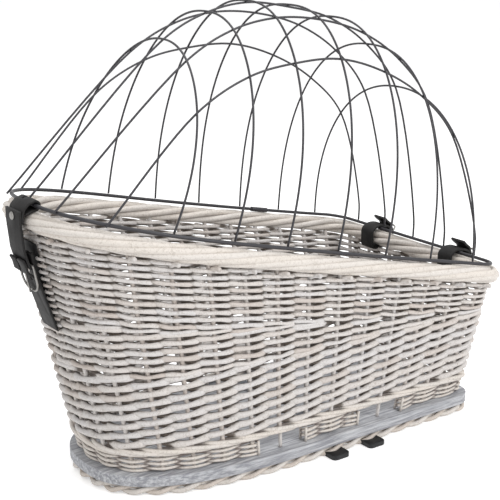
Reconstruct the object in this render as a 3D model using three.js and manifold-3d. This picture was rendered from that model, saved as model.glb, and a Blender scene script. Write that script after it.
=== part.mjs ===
// Dog bicycle basket: a wicker basket on a wooden board, with a domed wire grille that turns on
// two leather straps, a buckled closing strap and two clamp bars for a bicycle rack.
// Millimetres, +Z up. The tall rounded end is at -X and the low square end at +X. The near side is -Y.
// The origin lies on the ground under the middle of the overall length and width.

import * as THREE from "three";
import { mergeVertices } from "three/addons/utils/BufferGeometryUtils.js";
import Module from "manifold-3d";

const wasm = await Module();
wasm.setup();

// Fits
const SEAT_GAP = 0.3;

// Plan of the rim, along the centre of the grille's ring
const RIM_HIGH_X = -264.5;
const RIM_LOW_X = 267.5;
const RIM_SHOULDER_X = -49;
const RIM_HALF_WIDTH = 131.8;
const RIM_FLARE = 0.055;
const RIM_ROUNDNESS = 2.6;
const RIM_CORNER_R = 24;

// Plan of the board
const BOARD_HIGH_X = -216.6;
const BOARD_LOW_X = 273;
const BOARD_SHOULDER_X = 20;
const BOARD_HALF_WIDTH = 114;
const BOARD_ROUNDNESS = 2.55;
const BOARD_CORNER_R = 24;
const BOARD_THICK = 12;
const BOARD_EDGE = 1.5;

// Heights
const FOOT_ROPE_D = 12;
const FOOT_WEAVE_TALL = 18.5;
const WALING_TALL = 12;
const RING_HIGH_Z = 320.3;
const RING_LOW_Z = 198.9;
const RING_SAG = 3.2;
const RING_SEAT = 1.4;
const RING_LIFT = 3.4;
const RING_LIFT_END_X = 100;

// Wicker
const FOOT_ROPE_INSET = 7;
const WALL_THICK = 11;
const WALL_INSET_AT_BOARD = 8;
const WALL_OUTSIDE_RING = 4;
const WALING_PROUD = 2.5;
const BORDER_WIDE = 22;
const BORDER_TALL = 20;
const BORDER_SEAT = 0.8;
const SLOT_1_X = [-50, 8];
const SLOT_2_X = [91, 153];
const SLOT_STAKE_X = [-21, 123];
const SLOT_STAKE_D = 4;

// Weave of the wall: level rows up to a height, two wedges of rows above them, and rows under the border
const STAKES = 36;
const LEVEL_TOP = 142;
const LEVEL_ROWS = 15;
const MIDDLE_PITCH = 4.7;
const UPPER_PITCH = 4.1;
const RIM_ROWS = 8;
const RIM_ROWS_TALL = 30;
const STAKE_DEPTH = 3.6;
const BETWEEN_DEPTH = 2.6;

// Grille
const RING_WIRE_D = 4;
const WIRE_D = 2.4;
const HOOPS_HIGH_GAP = 98.1;
const HOOPS_LOW_GAP = 44.5;
const HOOP_SHAPES = [
  { lean: 62.7, rise: 152.1, roundness: 2.18, bow: 0.06 },
  { lean: 52.3, rise: 178.1, roundness: 2.31, bow: 0.06 },
  { lean: 40.6, rise: 187.4, roundness: 2.39, bow: 0.07 },
  { lean: 33.3, rise: 180.8, roundness: 2.56, bow: 0.06 },
  { lean: 31.8, rise: 165, roundness: 2.42, bow: 0.05 },
  { lean: 24.9, rise: 130.4, roundness: 2.35, bow: 0.02 },
  { lean: 7.2, rise: 76.5, roundness: 2.19, bow: 0 },
];
const CROSSING_GAP = 0.7;
const RUNNERS = [
  { atHoops: -102, highEnd: -94.5, lowEnd: -107 },
  { atHoops: -57, highEnd: -53, lowEnd: -55 },
  { atHoops: 0, highEnd: 0, lowEnd: 0 },
  { atHoops: 57, highEnd: 53, lowEnd: 55 },
  { atHoops: 102, highEnd: 94.5, lowEnd: 107 },
];
const RUNNER_TAIL = 3.5;
const SLEEVE_X = 125;
const SLEEVE_LONG = 26;
const SLEEVE_WALL = 0.7;

// Leather
const LEATHER = 2.6;
const HINGE_STRAP_WIDE = 22;
const HINGE_STRAP_Y = 72;
const HINGE_LOOP_ROOM = 2;
const HINGE_TAIL_TALL = 9;
const CLOSURE_WIDE = 32;
const CLOSURE_Y = -6;
const CLOSURE_TAB_CLEAR = 1.6;
const CLOSURE_FOLD_ROOM = 1.4;
const CLOSURE_STAND_OFF = 6;
const BACKING_WIDE = 34;
const BACKING_THICK = 1.6;

// Heights of the closure, under the ring's high end
const TAB_DROP = 16.3;
const CLOSURE_TOP_DROP = 3.8;
const STUD_DROP = 10.2;
const CLOSURE_BAR_DROP = 57.7;
const CLOSURE_FOLD_DROP = 132.3;
const CLOSURE_TIP_DROP = 49.7;
const BACKING_TOP_DROP = 39.7;

// Buckles
const BUCKLE_WIRE_D = 2.4;
const BUCKLE_SIDE_ROOM = 0.5;
const HINGE_BUCKLE_LONG = 15;
const HINGE_BUCKLE_TILT = 50;
const CLOSURE_BUCKLE_LONG = 30;
const PRONG_D = 2;
const PRONG_ROOM = 0.8;
const STUD_D = 9;
const STUD_RISE = 1.4;
const STUD_POST_D = 3;

// Clamps
const CLAMP_X = [50, 104];
const CLAMP_WIDE = 24;
const CLAMP_THICK = 5;
const CLAMP_PROUD = 12;
const CLAMP_CORNER_R = 5;
const CLAMP_TRAVEL = 2.5;
const SCREW_Y = 56;
const SCREW_D = 6;
const SCREW_HEAD_D = 12;
const SCREW_HEAD_TALL = 3;
const SCREW_LONG = 38;
const WASHER_D = 18;
const WASHER_THICK = 1.6;
const NUT_D = 12;
const NUT_TALL = 7;
const NUT_SPAN = 34;
const NUT_WING_TALL = 13;
const NUT_WING_THICK = 3;
const STRIP_X = 250;
const STRIP_WIDE = 15;
const STRIP_THICK = 2.5;

// Facets
const AROUND = 2 * STAKES;
const RING_AROUND = 84;
const BOARD_AROUND = 84;
const ROPE_SIDES = 8;
const BORDER_SIDES = 8;
const RING_SIDES = 6;
const WIRE_SIDES = 5;
const HOOP_STEPS = 32;
const RUNNER_STEPS = 36;
const BUCKLE_SIDES = 6;
const PRONG_STEPS = 16;
const ROUND_SIDES = 14;

// Heights that follow
const BOARD_BOTTOM = FOOT_ROPE_D + SEAT_GAP;
const BOARD_TOP = BOARD_BOTTOM + BOARD_THICK;
const FOOT_BOTTOM = BOARD_TOP + SEAT_GAP;
const FOOT_TOP = FOOT_BOTTOM + FOOT_WEAVE_TALL;
const WALING_BOTTOM = FOOT_TOP + SEAT_GAP;
const WALING_TOP = WALING_BOTTOM + WALING_TALL;
const WALL_BOTTOM = WALING_TOP + SEAT_GAP;
const CLOSURE_TAB_LOW_Z = RING_HIGH_Z - TAB_DROP;
const CLOSURE_TOP_Z = RING_HIGH_Z - CLOSURE_TOP_DROP;
const STUD_Z = RING_HIGH_Z - STUD_DROP;
const CLOSURE_BAR_Z = RING_HIGH_Z - CLOSURE_BAR_DROP;
const CLOSURE_FOLD_Z = RING_HIGH_Z - CLOSURE_FOLD_DROP;
const CLOSURE_TIP_Z = RING_HIGH_Z - CLOSURE_TIP_DROP;
const BACKING_TOP_Z = RING_HIGH_Z - BACKING_TOP_DROP;

const MATERIALS = {
  willow: { color: 0xcfc8bd, roughness: 0.78, metalness: 0 },
  band: { color: 0xe3dac6, roughness: 0.72, metalness: 0 },
  board: { color: 0x9ba2aa, roughness: 0.8, metalness: 0 },
  wire: { color: 0x3b3a3c, roughness: 0.45, metalness: 0.6 },
  leather: { color: 0x1d1b1c, roughness: 0.6, metalness: 0 },
  nickel: { color: 0xa9a9a6, roughness: 0.35, metalness: 1 },
  steel: { color: 0x17181a, roughness: 0.5, metalness: 0.5 },
  zinc: { color: 0xb9bcbf, roughness: 0.4, metalness: 1 },
};

const group = new THREE.Group();

// Geometry helpers

function facingOut(geometry) {
  const p = geometry.getAttribute("position");
  const index = geometry.index;
  const [a, b, c] = [new THREE.Vector3(), new THREE.Vector3(), new THREE.Vector3()];
  let volume = 0;
  for (let i = 0; i < index.count; i += 3) {
    a.fromBufferAttribute(p, index.getX(i));
    b.fromBufferAttribute(p, index.getX(i + 1));
    c.fromBufferAttribute(p, index.getX(i + 2));
    volume += a.dot(b.cross(c));
  }
  if (volume >= 0) return geometry;
  const flipped = Array.from(index.array);
  for (let i = 0; i < flipped.length; i += 3) {
    [flipped[i + 1], flipped[i + 2]] = [flipped[i + 2], flipped[i + 1]];
  }
  geometry.setIndex(flipped);
  return geometry;
}

// A skin over sections that each list the same number of points the same way round.
function loft(sections, closed) {
  const sides = sections[0].length;
  const count = sections.length;
  const faces = [];
  const spans = closed ? count : count - 1;
  for (let i = 0; i < spans; i++) {
    const next = (i + 1) % count;
    for (let j = 0; j < sides; j++) {
      const k = (j + 1) % sides;
      faces.push(i * sides + j, i * sides + k, next * sides + k);
      faces.push(i * sides + j, next * sides + k, next * sides + j);
    }
  }
  if (!closed) {
    const last = (count - 1) * sides;
    for (let j = 1; j < sides - 1; j++) {
      faces.push(0, j + 1, j);
      faces.push(last, last + j, last + j + 1);
    }
  }
  const geometry = new THREE.BufferGeometry();
  const flat = sections.flat().flatMap((v) => [v.x, v.y, v.z]);
  geometry.setAttribute("position", new THREE.Float32BufferAttribute(flat, 3));
  geometry.setIndex(faces);
  return facingOut(geometry);
}

function welded(geometry) {
  const bare = geometry.index ? geometry.toNonIndexed() : geometry.clone();
  bare.deleteAttribute("normal");
  bare.deleteAttribute("uv");
  return mergeVertices(bare, 1e-4);
}

function solid(geometry) {
  const g = welded(geometry);
  const mesh = new wasm.Mesh({
    numProp: 3,
    vertProperties: g.getAttribute("position").array,
    triVerts: new Uint32Array(g.index.array),
  });
  return new wasm.Manifold(mesh);
}

function skin(body) {
  const mesh = body.getMesh();
  const stride = mesh.numProp;
  const flat = [];
  for (let i = 0; i < mesh.numVert; i++) {
    flat.push(...mesh.vertProperties.subarray(i * stride, i * stride + 3));
  }
  const geometry = new THREE.BufferGeometry();
  geometry.setAttribute("position", new THREE.Float32BufferAttribute(flat, 3));
  geometry.setIndex(Array.from(mesh.triVerts));
  return geometry;
}

function block(x, y, z, wide, deep, tall) {
  return new THREE.BoxGeometry(wide, deep, tall).translate(x, y, z);
}

function disc(x, y, z, radius, tall, sides = ROUND_SIDES) {
  return new THREE.CylinderGeometry(radius, radius, tall, sides).rotateX(Math.PI / 2).translate(x, y, z);
}

function circlePoints(radius, sides) {
  const points = [];
  for (let i = 0; i < sides; i++) {
    const turn = (2 * Math.PI * (i + 0.5)) / sides;
    points.push(new THREE.Vector2(radius * Math.cos(turn), radius * Math.sin(turn)));
  }
  return points;
}

function wireAlong(curve, diameter, steps, sides = WIRE_SIDES) {
  const options = { steps, extrudePath: curve, bevelEnabled: false };
  return new THREE.ExtrudeGeometry(new THREE.Shape(circlePoints(diameter / 2, sides)), options);
}

function closedTube(curve, diameter, steps, sides) {
  const frames = curve.computeFrenetFrames(steps, true);
  const sections = [];
  for (let i = 0; i < steps; i++) {
    const centre = curve.getPointAt(i / steps);
    sections.push(
      circlePoints(diameter / 2, sides).map((q) =>
        centre.clone().addScaledVector(frames.normals[i], q.x).addScaledVector(frames.binormals[i], q.y)),
    );
  }
  return loft(sections, true);
}

function add(name, material, geometry, parent = group) {
  const mesh = new THREE.Mesh(geometry, new THREE.MeshStandardMaterial(MATERIALS[material]));
  mesh.name = name;
  parent.add(mesh);
  return mesh;
}

// Plans: a closed outline from the high tip, along the near side, round the low end and back

function halfPlan(plan) {
  const dense = 400;
  const points = [];
  const widthAt = (x) => plan.halfWidth + plan.flare * (x - plan.shoulderX);
  for (let i = 0; i <= dense; i++) {
    const turn = ((Math.PI / 2) * i) / dense;
    const x = plan.shoulderX - (plan.shoulderX - plan.highX) * Math.cos(turn) ** (2 / plan.roundness);
    points.push(new THREE.Vector2(x, -plan.halfWidth * Math.sin(turn) ** (2 / plan.roundness)));
  }
  const cornerX = plan.lowX - plan.cornerR;
  for (let i = 1; i <= dense; i++) {
    const x = plan.shoulderX + ((cornerX - plan.shoulderX) * i) / dense;
    points.push(new THREE.Vector2(x, -widthAt(x)));
  }
  const cornerY = -widthAt(cornerX) + plan.cornerR;
  for (let i = 1; i <= 60; i++) {
    const turn = ((Math.PI / 2) * i) / 60;
    const x = cornerX + plan.cornerR * Math.sin(turn);
    points.push(new THREE.Vector2(x, cornerY - plan.cornerR * Math.cos(turn)));
  }
  for (let i = 1; i <= 60; i++) {
    points.push(new THREE.Vector2(plan.lowX, cornerY * (1 - i / 60)));
  }
  return points;
}

// The inward normals of a half plan, square to the long axis at both of its ends.
function halfNormals(points) {
  return points.map((p, i) => {
    if (i === 0) return new THREE.Vector2(1, 0);
    if (i === points.length - 1) return new THREE.Vector2(-1, 0);
    const along = points[i + 1].clone().sub(points[i - 1]).normalize();
    return new THREE.Vector2(-along.y, along.x);
  });
}

// The outline as a function of u: 0 at the high tip, 0.5 at the low end's middle, near side first.
// An inset outline keeps the places of u that the outline itself has.
function planCurve(plan, inset) {
  const points = halfPlan(plan);
  const normals = halfNormals(points);
  const reach = [0];
  for (let i = 1; i < points.length; i++) {
    reach.push(reach[i - 1] + points[i].distanceTo(points[i - 1]));
  }
  const total = reach[reach.length - 1];
  return (u) => {
    const wrapped = u - Math.floor(u);
    const far = wrapped > 0.5;
    const goal = 2 * (far ? 1 - wrapped : wrapped) * total;
    let low = 0;
    let high = reach.length - 1;
    while (high - low > 1) {
      const middle = (low + high) >> 1;
      if (reach[middle] <= goal) low = middle;
      else high = middle;
    }
    const part = (goal - reach[low]) / (reach[high] - reach[low]);
    const normal = normals[low].clone().lerp(normals[high], part).normalize();
    const p = points[low].clone().lerp(points[high], part).addScaledVector(normal, inset);
    return new THREE.Vector2(p.x, far ? -p.y : p.y);
  };
}

const RIM_PLAN = {
  highX: RIM_HIGH_X,
  lowX: RIM_LOW_X,
  shoulderX: RIM_SHOULDER_X,
  halfWidth: RIM_HALF_WIDTH,
  flare: RIM_FLARE,
  roundness: RIM_ROUNDNESS,
  cornerR: RIM_CORNER_R,
};
const BOARD_PLAN = {
  highX: BOARD_HIGH_X,
  lowX: BOARD_LOW_X,
  shoulderX: BOARD_SHOULDER_X,
  halfWidth: BOARD_HALF_WIDTH,
  flare: 0,
  roundness: BOARD_ROUNDNESS,
  cornerR: BOARD_CORNER_R,
};

const ringPlan = planCurve(RIM_PLAN, 0);
const boardPlan = planCurve(BOARD_PLAN, 0);
const ropePlan = planCurve(BOARD_PLAN, FOOT_ROPE_INSET);
const wallPlans = [0, WALL_THICK].map((depth) => ({
  foot: planCurve(BOARD_PLAN, WALL_INSET_AT_BOARD + depth),
  rim: planCurve(RIM_PLAN, depth - WALL_OUTSIDE_RING),
}));

function ringZ(x) {
  const t = (x - RIM_HIGH_X) / (RIM_LOW_X - RIM_HIGH_X);
  return RING_HIGH_Z + (RING_LOW_Z - RING_HIGH_Z) * t - RING_SAG * 4 * t * (1 - t);
}

function borderTopZ(x) {
  const lift = RING_LIFT * Math.max(0, (RING_LIFT_END_X - x) / (RING_LIFT_END_X - RIM_HIGH_X));
  return ringZ(x) - RING_WIRE_D / 2 - RING_SEAT - lift;
}

function borderZ(x) {
  return borderTopZ(x) - BORDER_TALL / 2;
}

// A point of the tapering wall: depth 0 is its outer face and depth 1 its inner face.
function wallPoint(u, z, depth) {
  const foot = wallPlans[0].foot(u).lerp(wallPlans[1].foot(u), depth);
  const rim = wallPlans[0].rim(u).lerp(wallPlans[1].rim(u), depth);
  const rise = (z - BOARD_TOP) / (borderZ(rim.x) - BOARD_TOP);
  const p = foot.lerp(rim, rise);
  return new THREE.Vector3(p.x, p.y, z);
}

function wallTopZ(u) {
  return borderZ(ringPlan(u).x) - BORDER_TALL / 2 - BORDER_SEAT;
}

// Where the near side of the outer wall stands at x, as u, at height z.
function wallU(x, z) {
  let low = 0;
  let high = 0.5;
  for (let i = 0; i < 40; i++) {
    const middle = (low + high) / 2;
    if (wallPoint(middle, z, 0).x < x) low = middle;
    else high = middle;
  }
  return low;
}

// A stretch of wall between two heights. bottom and top are functions of u.
function wallBand(from, to, bottom, top, closed, proud = 0) {
  const count = Math.max(2, Math.round((to - from) * AROUND));
  const sections = [];
  const out = -proud / WALL_THICK;
  for (let i = 0; i < (closed ? count : count + 1); i++) {
    const u = from + ((to - from) * i) / count;
    const [low, high] = [bottom(u), top(u)];
    const middle = (low + high) / 2;
    const section = [wallPoint(u, low, 0)];
    if (proud) section.push(wallPoint(u, middle, out));
    section.push(wallPoint(u, high, 0), wallPoint(u, high, 1));
    if (proud) section.push(wallPoint(u, middle, 1 - out));
    section.push(wallPoint(u, low, 1));
    sections.push(section);
  }
  return loft(sections, closed);
}

// An oval rope along a plan outline at a height that is a function of x.
function ropeAround(plan, height, wide, tall, sides) {
  const round = circlePoints(1, sides);
  const [widest, tallest] = [Math.max(...round.map((q) => q.x)), Math.max(...round.map((q) => q.y))];
  const sections = [];
  const step = 0.25 / AROUND;
  for (let i = 0; i < AROUND; i++) {
    const u = i / AROUND;
    const p = plan(u);
    const along = plan(u + step).sub(plan(u - step)).normalize();
    sections.push(
      round.map((q) => {
        const across = (wide / 2) * (q.x / widest);
        const up = (tall / 2) * (q.y / tallest);
        return new THREE.Vector3(p.x + along.y * across, p.y - along.x * across, height(p.x) + up);
      }),
    );
  }
  return loft(sections, true);
}

// Basket

function screwPlaces() {
  return CLAMP_X.flatMap((x) => [-SCREW_Y, SCREW_Y].map((y) => ({ x, y })));
}

function baseBoard() {
  const outline = [];
  for (let i = 0; i < BOARD_AROUND; i++) outline.push(boardPlan(i / BOARD_AROUND));
  const shape = new THREE.Shape(outline);
  const edge = { bevelEnabled: true, bevelThickness: BOARD_EDGE, bevelSize: BOARD_EDGE, bevelSegments: 1 };
  const depth = BOARD_THICK - 2 * BOARD_EDGE;
  const plate = new THREE.ExtrudeGeometry(shape, { depth, bevelOffset: -BOARD_EDGE, ...edge });
  plate.translate(0, 0, BOARD_BOTTOM + BOARD_EDGE);
  let board = solid(plate);
  for (const { x, y } of screwPlaces()) {
    const hole = disc(x, y, BOARD_BOTTOM + BOARD_THICK / 2, SCREW_D / 2 + SEAT_GAP, 2 * BOARD_THICK);
    board = board.subtract(solid(hole));
  }
  return skin(board);
}

function footBorder() {
  const rope = ropeAround(ropePlan, () => FOOT_ROPE_D / 2, FOOT_ROPE_D, FOOT_ROPE_D, ROPE_SIDES);
  let border = solid(rope);
  const notchTall = CLAMP_THICK + CLAMP_TRAVEL + 2 * SEAT_GAP;
  for (const x of CLAMP_X) {
    const wide = CLAMP_WIDE + 2 * SEAT_GAP;
    const notch = block(x, 0, 0, wide, 4 * BOARD_HALF_WIDTH, 2 * notchTall);
    border = border.subtract(solid(notch));
  }
  const stripNotch = block(
    STRIP_X,
    0,
    BOARD_BOTTOM,
    STRIP_WIDE + 2 * SEAT_GAP,
    4 * BOARD_HALF_WIDTH,
    2 * (STRIP_THICK + 2 * SEAT_GAP),
  );
  return skin(border.subtract(solid(stripNotch)));
}

function footWeave(from, to) {
  return wallBand(from, to, () => FOOT_BOTTOM, () => FOOT_TOP, false);
}

function addFootWeave() {
  const z = (FOOT_BOTTOM + FOOT_TOP) / 2;
  const [a, b] = SLOT_1_X.map((x) => wallU(x, z));
  const [c, d] = SLOT_2_X.map((x) => wallU(x, z));
  add("foot_weave_high_end", "willow", footWeave(-a, a));
  add("foot_weave_near", "willow", footWeave(b, c));
  add("foot_weave_low_end", "willow", footWeave(d, 1 - d));
  add("foot_weave_far", "willow", footWeave(1 - c, 1 - b));
  SLOT_STAKE_X.forEach((x, i) => {
    const u = wallU(x, z);
    add("slot_stake_near_" + (i + 1), "willow", slotStake(u));
    add("slot_stake_far_" + (i + 1), "willow", slotStake(1 - u));
  });
}

function slotStake(u) {
  const low = wallPoint(u, FOOT_BOTTOM + SEAT_GAP, 0.5);
  const high = wallPoint(u, FOOT_TOP - SEAT_GAP, 0.5);
  return wireAlong(new THREE.LineCurve3(low, high), SLOT_STAKE_D, 1, 8);
}

function walingBand() {
  return wallBand(0, 1, () => WALING_BOTTOM, () => WALING_TOP, true, WALING_PROUD);
}

// The notches in the wall's top that the hinge straps pass through.
function strapNotches() {
  const low = hingeLoopLowZ() - LEATHER / 2 - SEAT_GAP;
  const tall = 2 * LEATHER + 2 * SEAT_GAP;
  return [-HINGE_STRAP_Y, HINGE_STRAP_Y].map((y) =>
    block(RIM_LOW_X, y, low + tall / 2, 6 * WALL_THICK, HINGE_STRAP_WIDE + 2 * SEAT_GAP, tall));
}

// Heights of the rows between two heights, from the top down. The rows spread out evenly, and the lowest one
// sinks away where there is no room for it.
function spreadRows(low, high, pitch) {
  const room = (high - low) / pitch;
  const whole = Math.floor(room);
  const rows = whole + THREE.MathUtils.smoothstep(room - whole, 0.15, 0.85);
  const heights = [];
  for (let k = 0; k + 0.5 < room; k++) heights.push(high - ((k + 0.5) * (high - low)) / rows);
  return heights;
}

// The rows of weavers at u, from the bottom up. An even row passes outside the even stakes.
function rowsAt(u) {
  const top = wallTopZ(u);
  const upperTop = top - RIM_ROWS_TALL;
  const middleTop = (LEVEL_TOP + upperTop) / 2;
  const level = (LEVEL_TOP - WALL_BOTTOM) / LEVEL_ROWS;
  const rows = [];
  for (let k = 0; k < LEVEL_ROWS; k++) rows.push({ z: WALL_BOTTOM + (k + 0.5) * level, even: k % 2 === 0 });
  for (const [low, high, pitch] of [
    [LEVEL_TOP, middleTop, MIDDLE_PITCH],
    [middleTop, upperTop, UPPER_PITCH],
    [upperTop, top, RIM_ROWS_TALL / RIM_ROWS],
  ]) {
    const heights = spreadRows(low, high, pitch).map((z, k) => ({ z, even: k % 2 === 0 }));
    rows.push(...heights.reverse());
  }
  return rows;
}

// The line up the wall's outer face at a stake, or halfway between two stakes.
function weaveColumn(number) {
  const u = number / AROUND;
  const rows = rowsAt(u);
  const between = BETWEEN_DEPTH / WALL_THICK;
  const line = [wallPoint(u, WALL_BOTTOM, between)];
  if (number % 2 === 1) {
    for (let k = 1; k < rows.length; k += 2) line.push(wallPoint(u, (rows[k - 1].z + rows[k].z) / 2, between));
  } else {
    for (const { z, even } of rows) {
      const outside = even === (number % 4 === 0);
      line.push(wallPoint(u, z, outside ? 0 : STAKE_DEPTH / WALL_THICK));
    }
  }
  line.push(wallPoint(u, wallTopZ(u), between));
  return line;
}

// A ring wall: woven outside, plain inside. Neighbouring columns are joined from the bottom up.
function wovenWall() {
  const columns = [];
  for (let i = 0; i < AROUND; i++) {
    const u = i / AROUND;
    columns.push([wallPoint(u, WALL_BOTTOM, 1), ...weaveColumn(i), wallPoint(u, wallTopZ(u), 1)]);
  }
  const starts = [];
  let total = 0;
  for (const column of columns) {
    starts.push(total);
    total += column.length;
  }
  const faces = [];
  columns.forEach((column, i) => {
    const next = columns[(i + 1) % AROUND];
    const [a, b] = [starts[i], starts[(i + 1) % AROUND]];
    let [j, k] = [0, 0];
    while (j < column.length - 1 || k < next.length - 1) {
      const rise = j < column.length - 1 ? column[j + 1].z : Infinity;
      const nextRise = k < next.length - 1 ? next[k + 1].z : Infinity;
      const here = rise - column[0].z <= nextRise - next[0].z;
      if (here && j < column.length - 1) faces.push(a + j, b + k, a + ++j);
      else faces.push(a + j, b + k, b + ++k);
    }
    faces.push(a, a + column.length - 1, b);
    faces.push(b, a + column.length - 1, b + next.length - 1);
  });
  const geometry = new THREE.BufferGeometry();
  const flat = columns.flat().flatMap((v) => [v.x, v.y, v.z]);
  geometry.setAttribute("position", new THREE.Float32BufferAttribute(flat, 3));
  geometry.setIndex(faces);
  return facingOut(geometry);
}

function wickerWall() {
  let wall = solid(wovenWall());
  for (const notch of strapNotches()) wall = wall.subtract(solid(notch));
  return skin(wall);
}

function rimBorder() {
  return ropeAround(ringPlan, borderZ, BORDER_WIDE, BORDER_TALL, BORDER_SIDES);
}

// Grille

class RingPath extends THREE.Curve {
  getPoint(t, target = new THREE.Vector3()) {
    const p = ringPlan(t);
    return target.set(p.x, p.y, ringZ(p.x));
  }
}

// One hoop, from its near foot over the top to its far foot, in a plane that leans to the low end.
// rise is its height over the ring's high end, and bow is how far its legs swell out beyond its feet.
class HoopPath extends THREE.Curve {
  constructor({ lean, rise, roundness, bow }, number) {
    super();
    const firstX = RIM_HIGH_X + HOOPS_HIGH_GAP;
    const lastX = RIM_LOW_X - HOOPS_LOW_GAP;
    this.footX = firstX + ((lastX - firstX) * number) / (HOOP_SHAPES.length - 1);
    this.topX = this.footX + lean;
    this.halfWidth = ringHalfWidthAt(this.footX);
    this.footZ = ringZ(this.footX) + RING_WIRE_D / 2 + 2 * SEAT_GAP;
    this.topZ = RING_HIGH_Z + rise;
    this.roundness = roundness;
    this.bow = bow;
  }

  getPoint(t, target = new THREE.Vector3()) {
    const turn = Math.PI * t;
    const c = Math.cos(turn);
    const rise = Math.max(0, Math.sin(turn)) ** (2 / this.roundness);
    const swell = 1 + 4 * this.bow * rise * (1 - rise);
    const y = -Math.sign(c) * Math.abs(c) ** (2 / this.roundness) * this.halfWidth * swell;
    const x = this.footX + (this.topX - this.footX) * rise;
    return target.set(x, y, this.footZ + (this.topZ - this.footZ) * rise);
  }

  // The point of this hoop at a given y, above its legs.
  at(y) {
    let low = 0.1;
    let high = 0.9;
    for (let i = 0; i < 40; i++) {
      const middle = (low + high) / 2;
      if (this.getPoint(middle).y < y) low = middle;
      else high = middle;
    }
    return this.getPoint(low);
  }
}

function ringHalfWidthAt(x) {
  const u = ringUAt(x);
  return -ringPlan(u).y;
}

function ringUAt(x) {
  let low = 0;
  let high = 0.5;
  for (let i = 0; i < 40; i++) {
    const middle = (low + high) / 2;
    if (ringPlan(middle).x < x) low = middle;
    else high = middle;
  }
  return low;
}

// The u of the ring's rounded high end at a given y.
function ringHighUAt(y) {
  let low = 0;
  let high = 0.25;
  for (let i = 0; i < 40; i++) {
    const middle = (low + high) / 2;
    if (-ringPlan(middle).y < Math.abs(y)) low = middle;
    else high = middle;
  }
  return y > 0 ? 1 - low : low;
}

const hoops = HOOP_SHAPES.map((shape, number) => new HoopPath(shape, number));

// A runner passes under every hoop, runs down over the ring at the high end and stands on it at the low end.
function runnerPath({ atHoops, highEnd, lowEnd }) {
  const crossings = hoops.map((hoop) => hoop.at(atHoops));
  const under = crossings.map((p, i) => {
    const before = crossings[Math.max(i - 1, 0)];
    const after = crossings[Math.min(i + 1, crossings.length - 1)];
    const along = after.clone().sub(before);
    const across = hoops[i].at(atHoops + 1).sub(hoops[i].at(atHoops - 1));
    const inward = new THREE.Vector3().crossVectors(across, along).normalize();
    if (inward.z > 0) inward.negate();
    return p.clone().addScaledVector(inward, WIRE_D + CROSSING_GAP);
  });
  const lowFoot = new THREE.Vector3(RIM_LOW_X, lowEnd, RING_LOW_Z + RING_WIRE_D / 2 + 2 * SEAT_GAP);
  const lowRise = lowFoot.clone();
  lowRise.z += 25;
  const points = [...highEndPoints(highEnd, under[0]), ...under, lowRise, lowFoot];
  return new THREE.CatmullRomCurve3(points, false, "centripetal");
}

// The middle runner stands on the ring inside the fold of the closing tab, and the others run down beside it.
function highEndPoints(y, firstCrossing) {
  const u = ringHighUAt(y);
  const ring = new RingPath();
  const seat = ring.getPoint(u);
  const along = ring.getPoint(u + 0.002).sub(ring.getPoint(u - 0.002)).normalize();
  const rise = firstCrossing.clone().sub(seat).normalize();
  const out = new THREE.Vector3().crossVectors(along, rise).normalize();
  if (out.x > 0) out.negate();
  if (y === 0) {
    const stand = seat.clone().addScaledVector(rise, RING_WIRE_D / 2 + 3 * SEAT_GAP);
    return [stand, stand.clone().addScaledVector(rise, 6 * RUNNER_TAIL)];
  }
  const beside = (RING_WIRE_D + WIRE_D) / 2 + SEAT_GAP;
  const tail = seat.clone().addScaledVector(out, beside).addScaledVector(rise, -RUNNER_TAIL);
  const above = seat.clone().addScaledVector(out, beside).addScaledVector(rise, 3 * RUNNER_TAIL);
  return [tail, above];
}

function ringSleeve() {
  const inner = RING_WIRE_D / 2 + SEAT_GAP;
  const outer = inner + SLEEVE_WALL;
  const half = SLEEVE_LONG / 2;
  const profile = [
    new THREE.Vector2(inner, -half),
    new THREE.Vector2(outer, -half),
    new THREE.Vector2(outer, half),
    new THREE.Vector2(inner, half),
    new THREE.Vector2(inner, -half),
  ];
  return new THREE.LatheGeometry(profile, 12);
}

function addGrille() {
  const ring = new RingPath();
  add("grille_ring", "wire", closedTube(ring, RING_WIRE_D, RING_AROUND, RING_SIDES));
  hoops.forEach((hoop, i) => add("hoop_" + (i + 1), "wire", wireAlong(hoop, WIRE_D, HOOP_STEPS)));
  RUNNERS.forEach((runner, i) =>
    add("runner_" + (i + 1), "wire", wireAlong(runnerPath(runner), WIRE_D, RUNNER_STEPS)));
  const u = 1 - ringUAt(SLEEVE_X);
  const along = ring.getPoint(u + 0.01).sub(ring.getPoint(u - 0.01)).normalize();
  const sleeve = add("ring_sleeve", "wire", ringSleeve());
  sleeve.position.copy(ring.getPoint(u));
  sleeve.quaternion.setFromUnitVectors(new THREE.Vector3(0, 1, 0), along);
}

// Leather

// A strip of leather seen on edge: a centre line in x and z, given its thickness, then its width along y.
function strapFromPath(points, wide, thick = LEATHER) {
  const left = [];
  const right = [];
  points.forEach((p, i) => {
    const before = points[Math.max(i - 1, 0)];
    const after = points[Math.min(i + 1, points.length - 1)];
    const along = after.clone().sub(before).normalize();
    const side = new THREE.Vector2(-along.y, along.x).multiplyScalar(thick / 2);
    left.push(p.clone().add(side));
    right.push(p.clone().sub(side));
  });
  const shape = new THREE.Shape([...left, ...right.reverse()]);
  const strip = new THREE.ExtrudeGeometry(shape, { depth: wide, bevelEnabled: false });
  return strip.translate(0, 0, -wide / 2).rotateX(Math.PI / 2);
}

function arcPoints(centre, radiusX, radiusZ, fromDegrees, toDegrees, steps) {
  const points = [];
  for (let i = 0; i <= steps; i++) {
    const turn = ((fromDegrees + ((toDegrees - fromDegrees) * i) / steps) * Math.PI) / 180;
    points.push(new THREE.Vector2(centre.x + radiusX * Math.cos(turn), centre.y + radiusZ * Math.sin(turn)));
  }
  return points;
}

// How far a hinge strap's loop reaches from the border's centre, to the middle of its leather.
function hingeLoopHalf() {
  return BORDER_WIDE / 2 + HINGE_LOOP_ROOM + LEATHER / 2;
}

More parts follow.
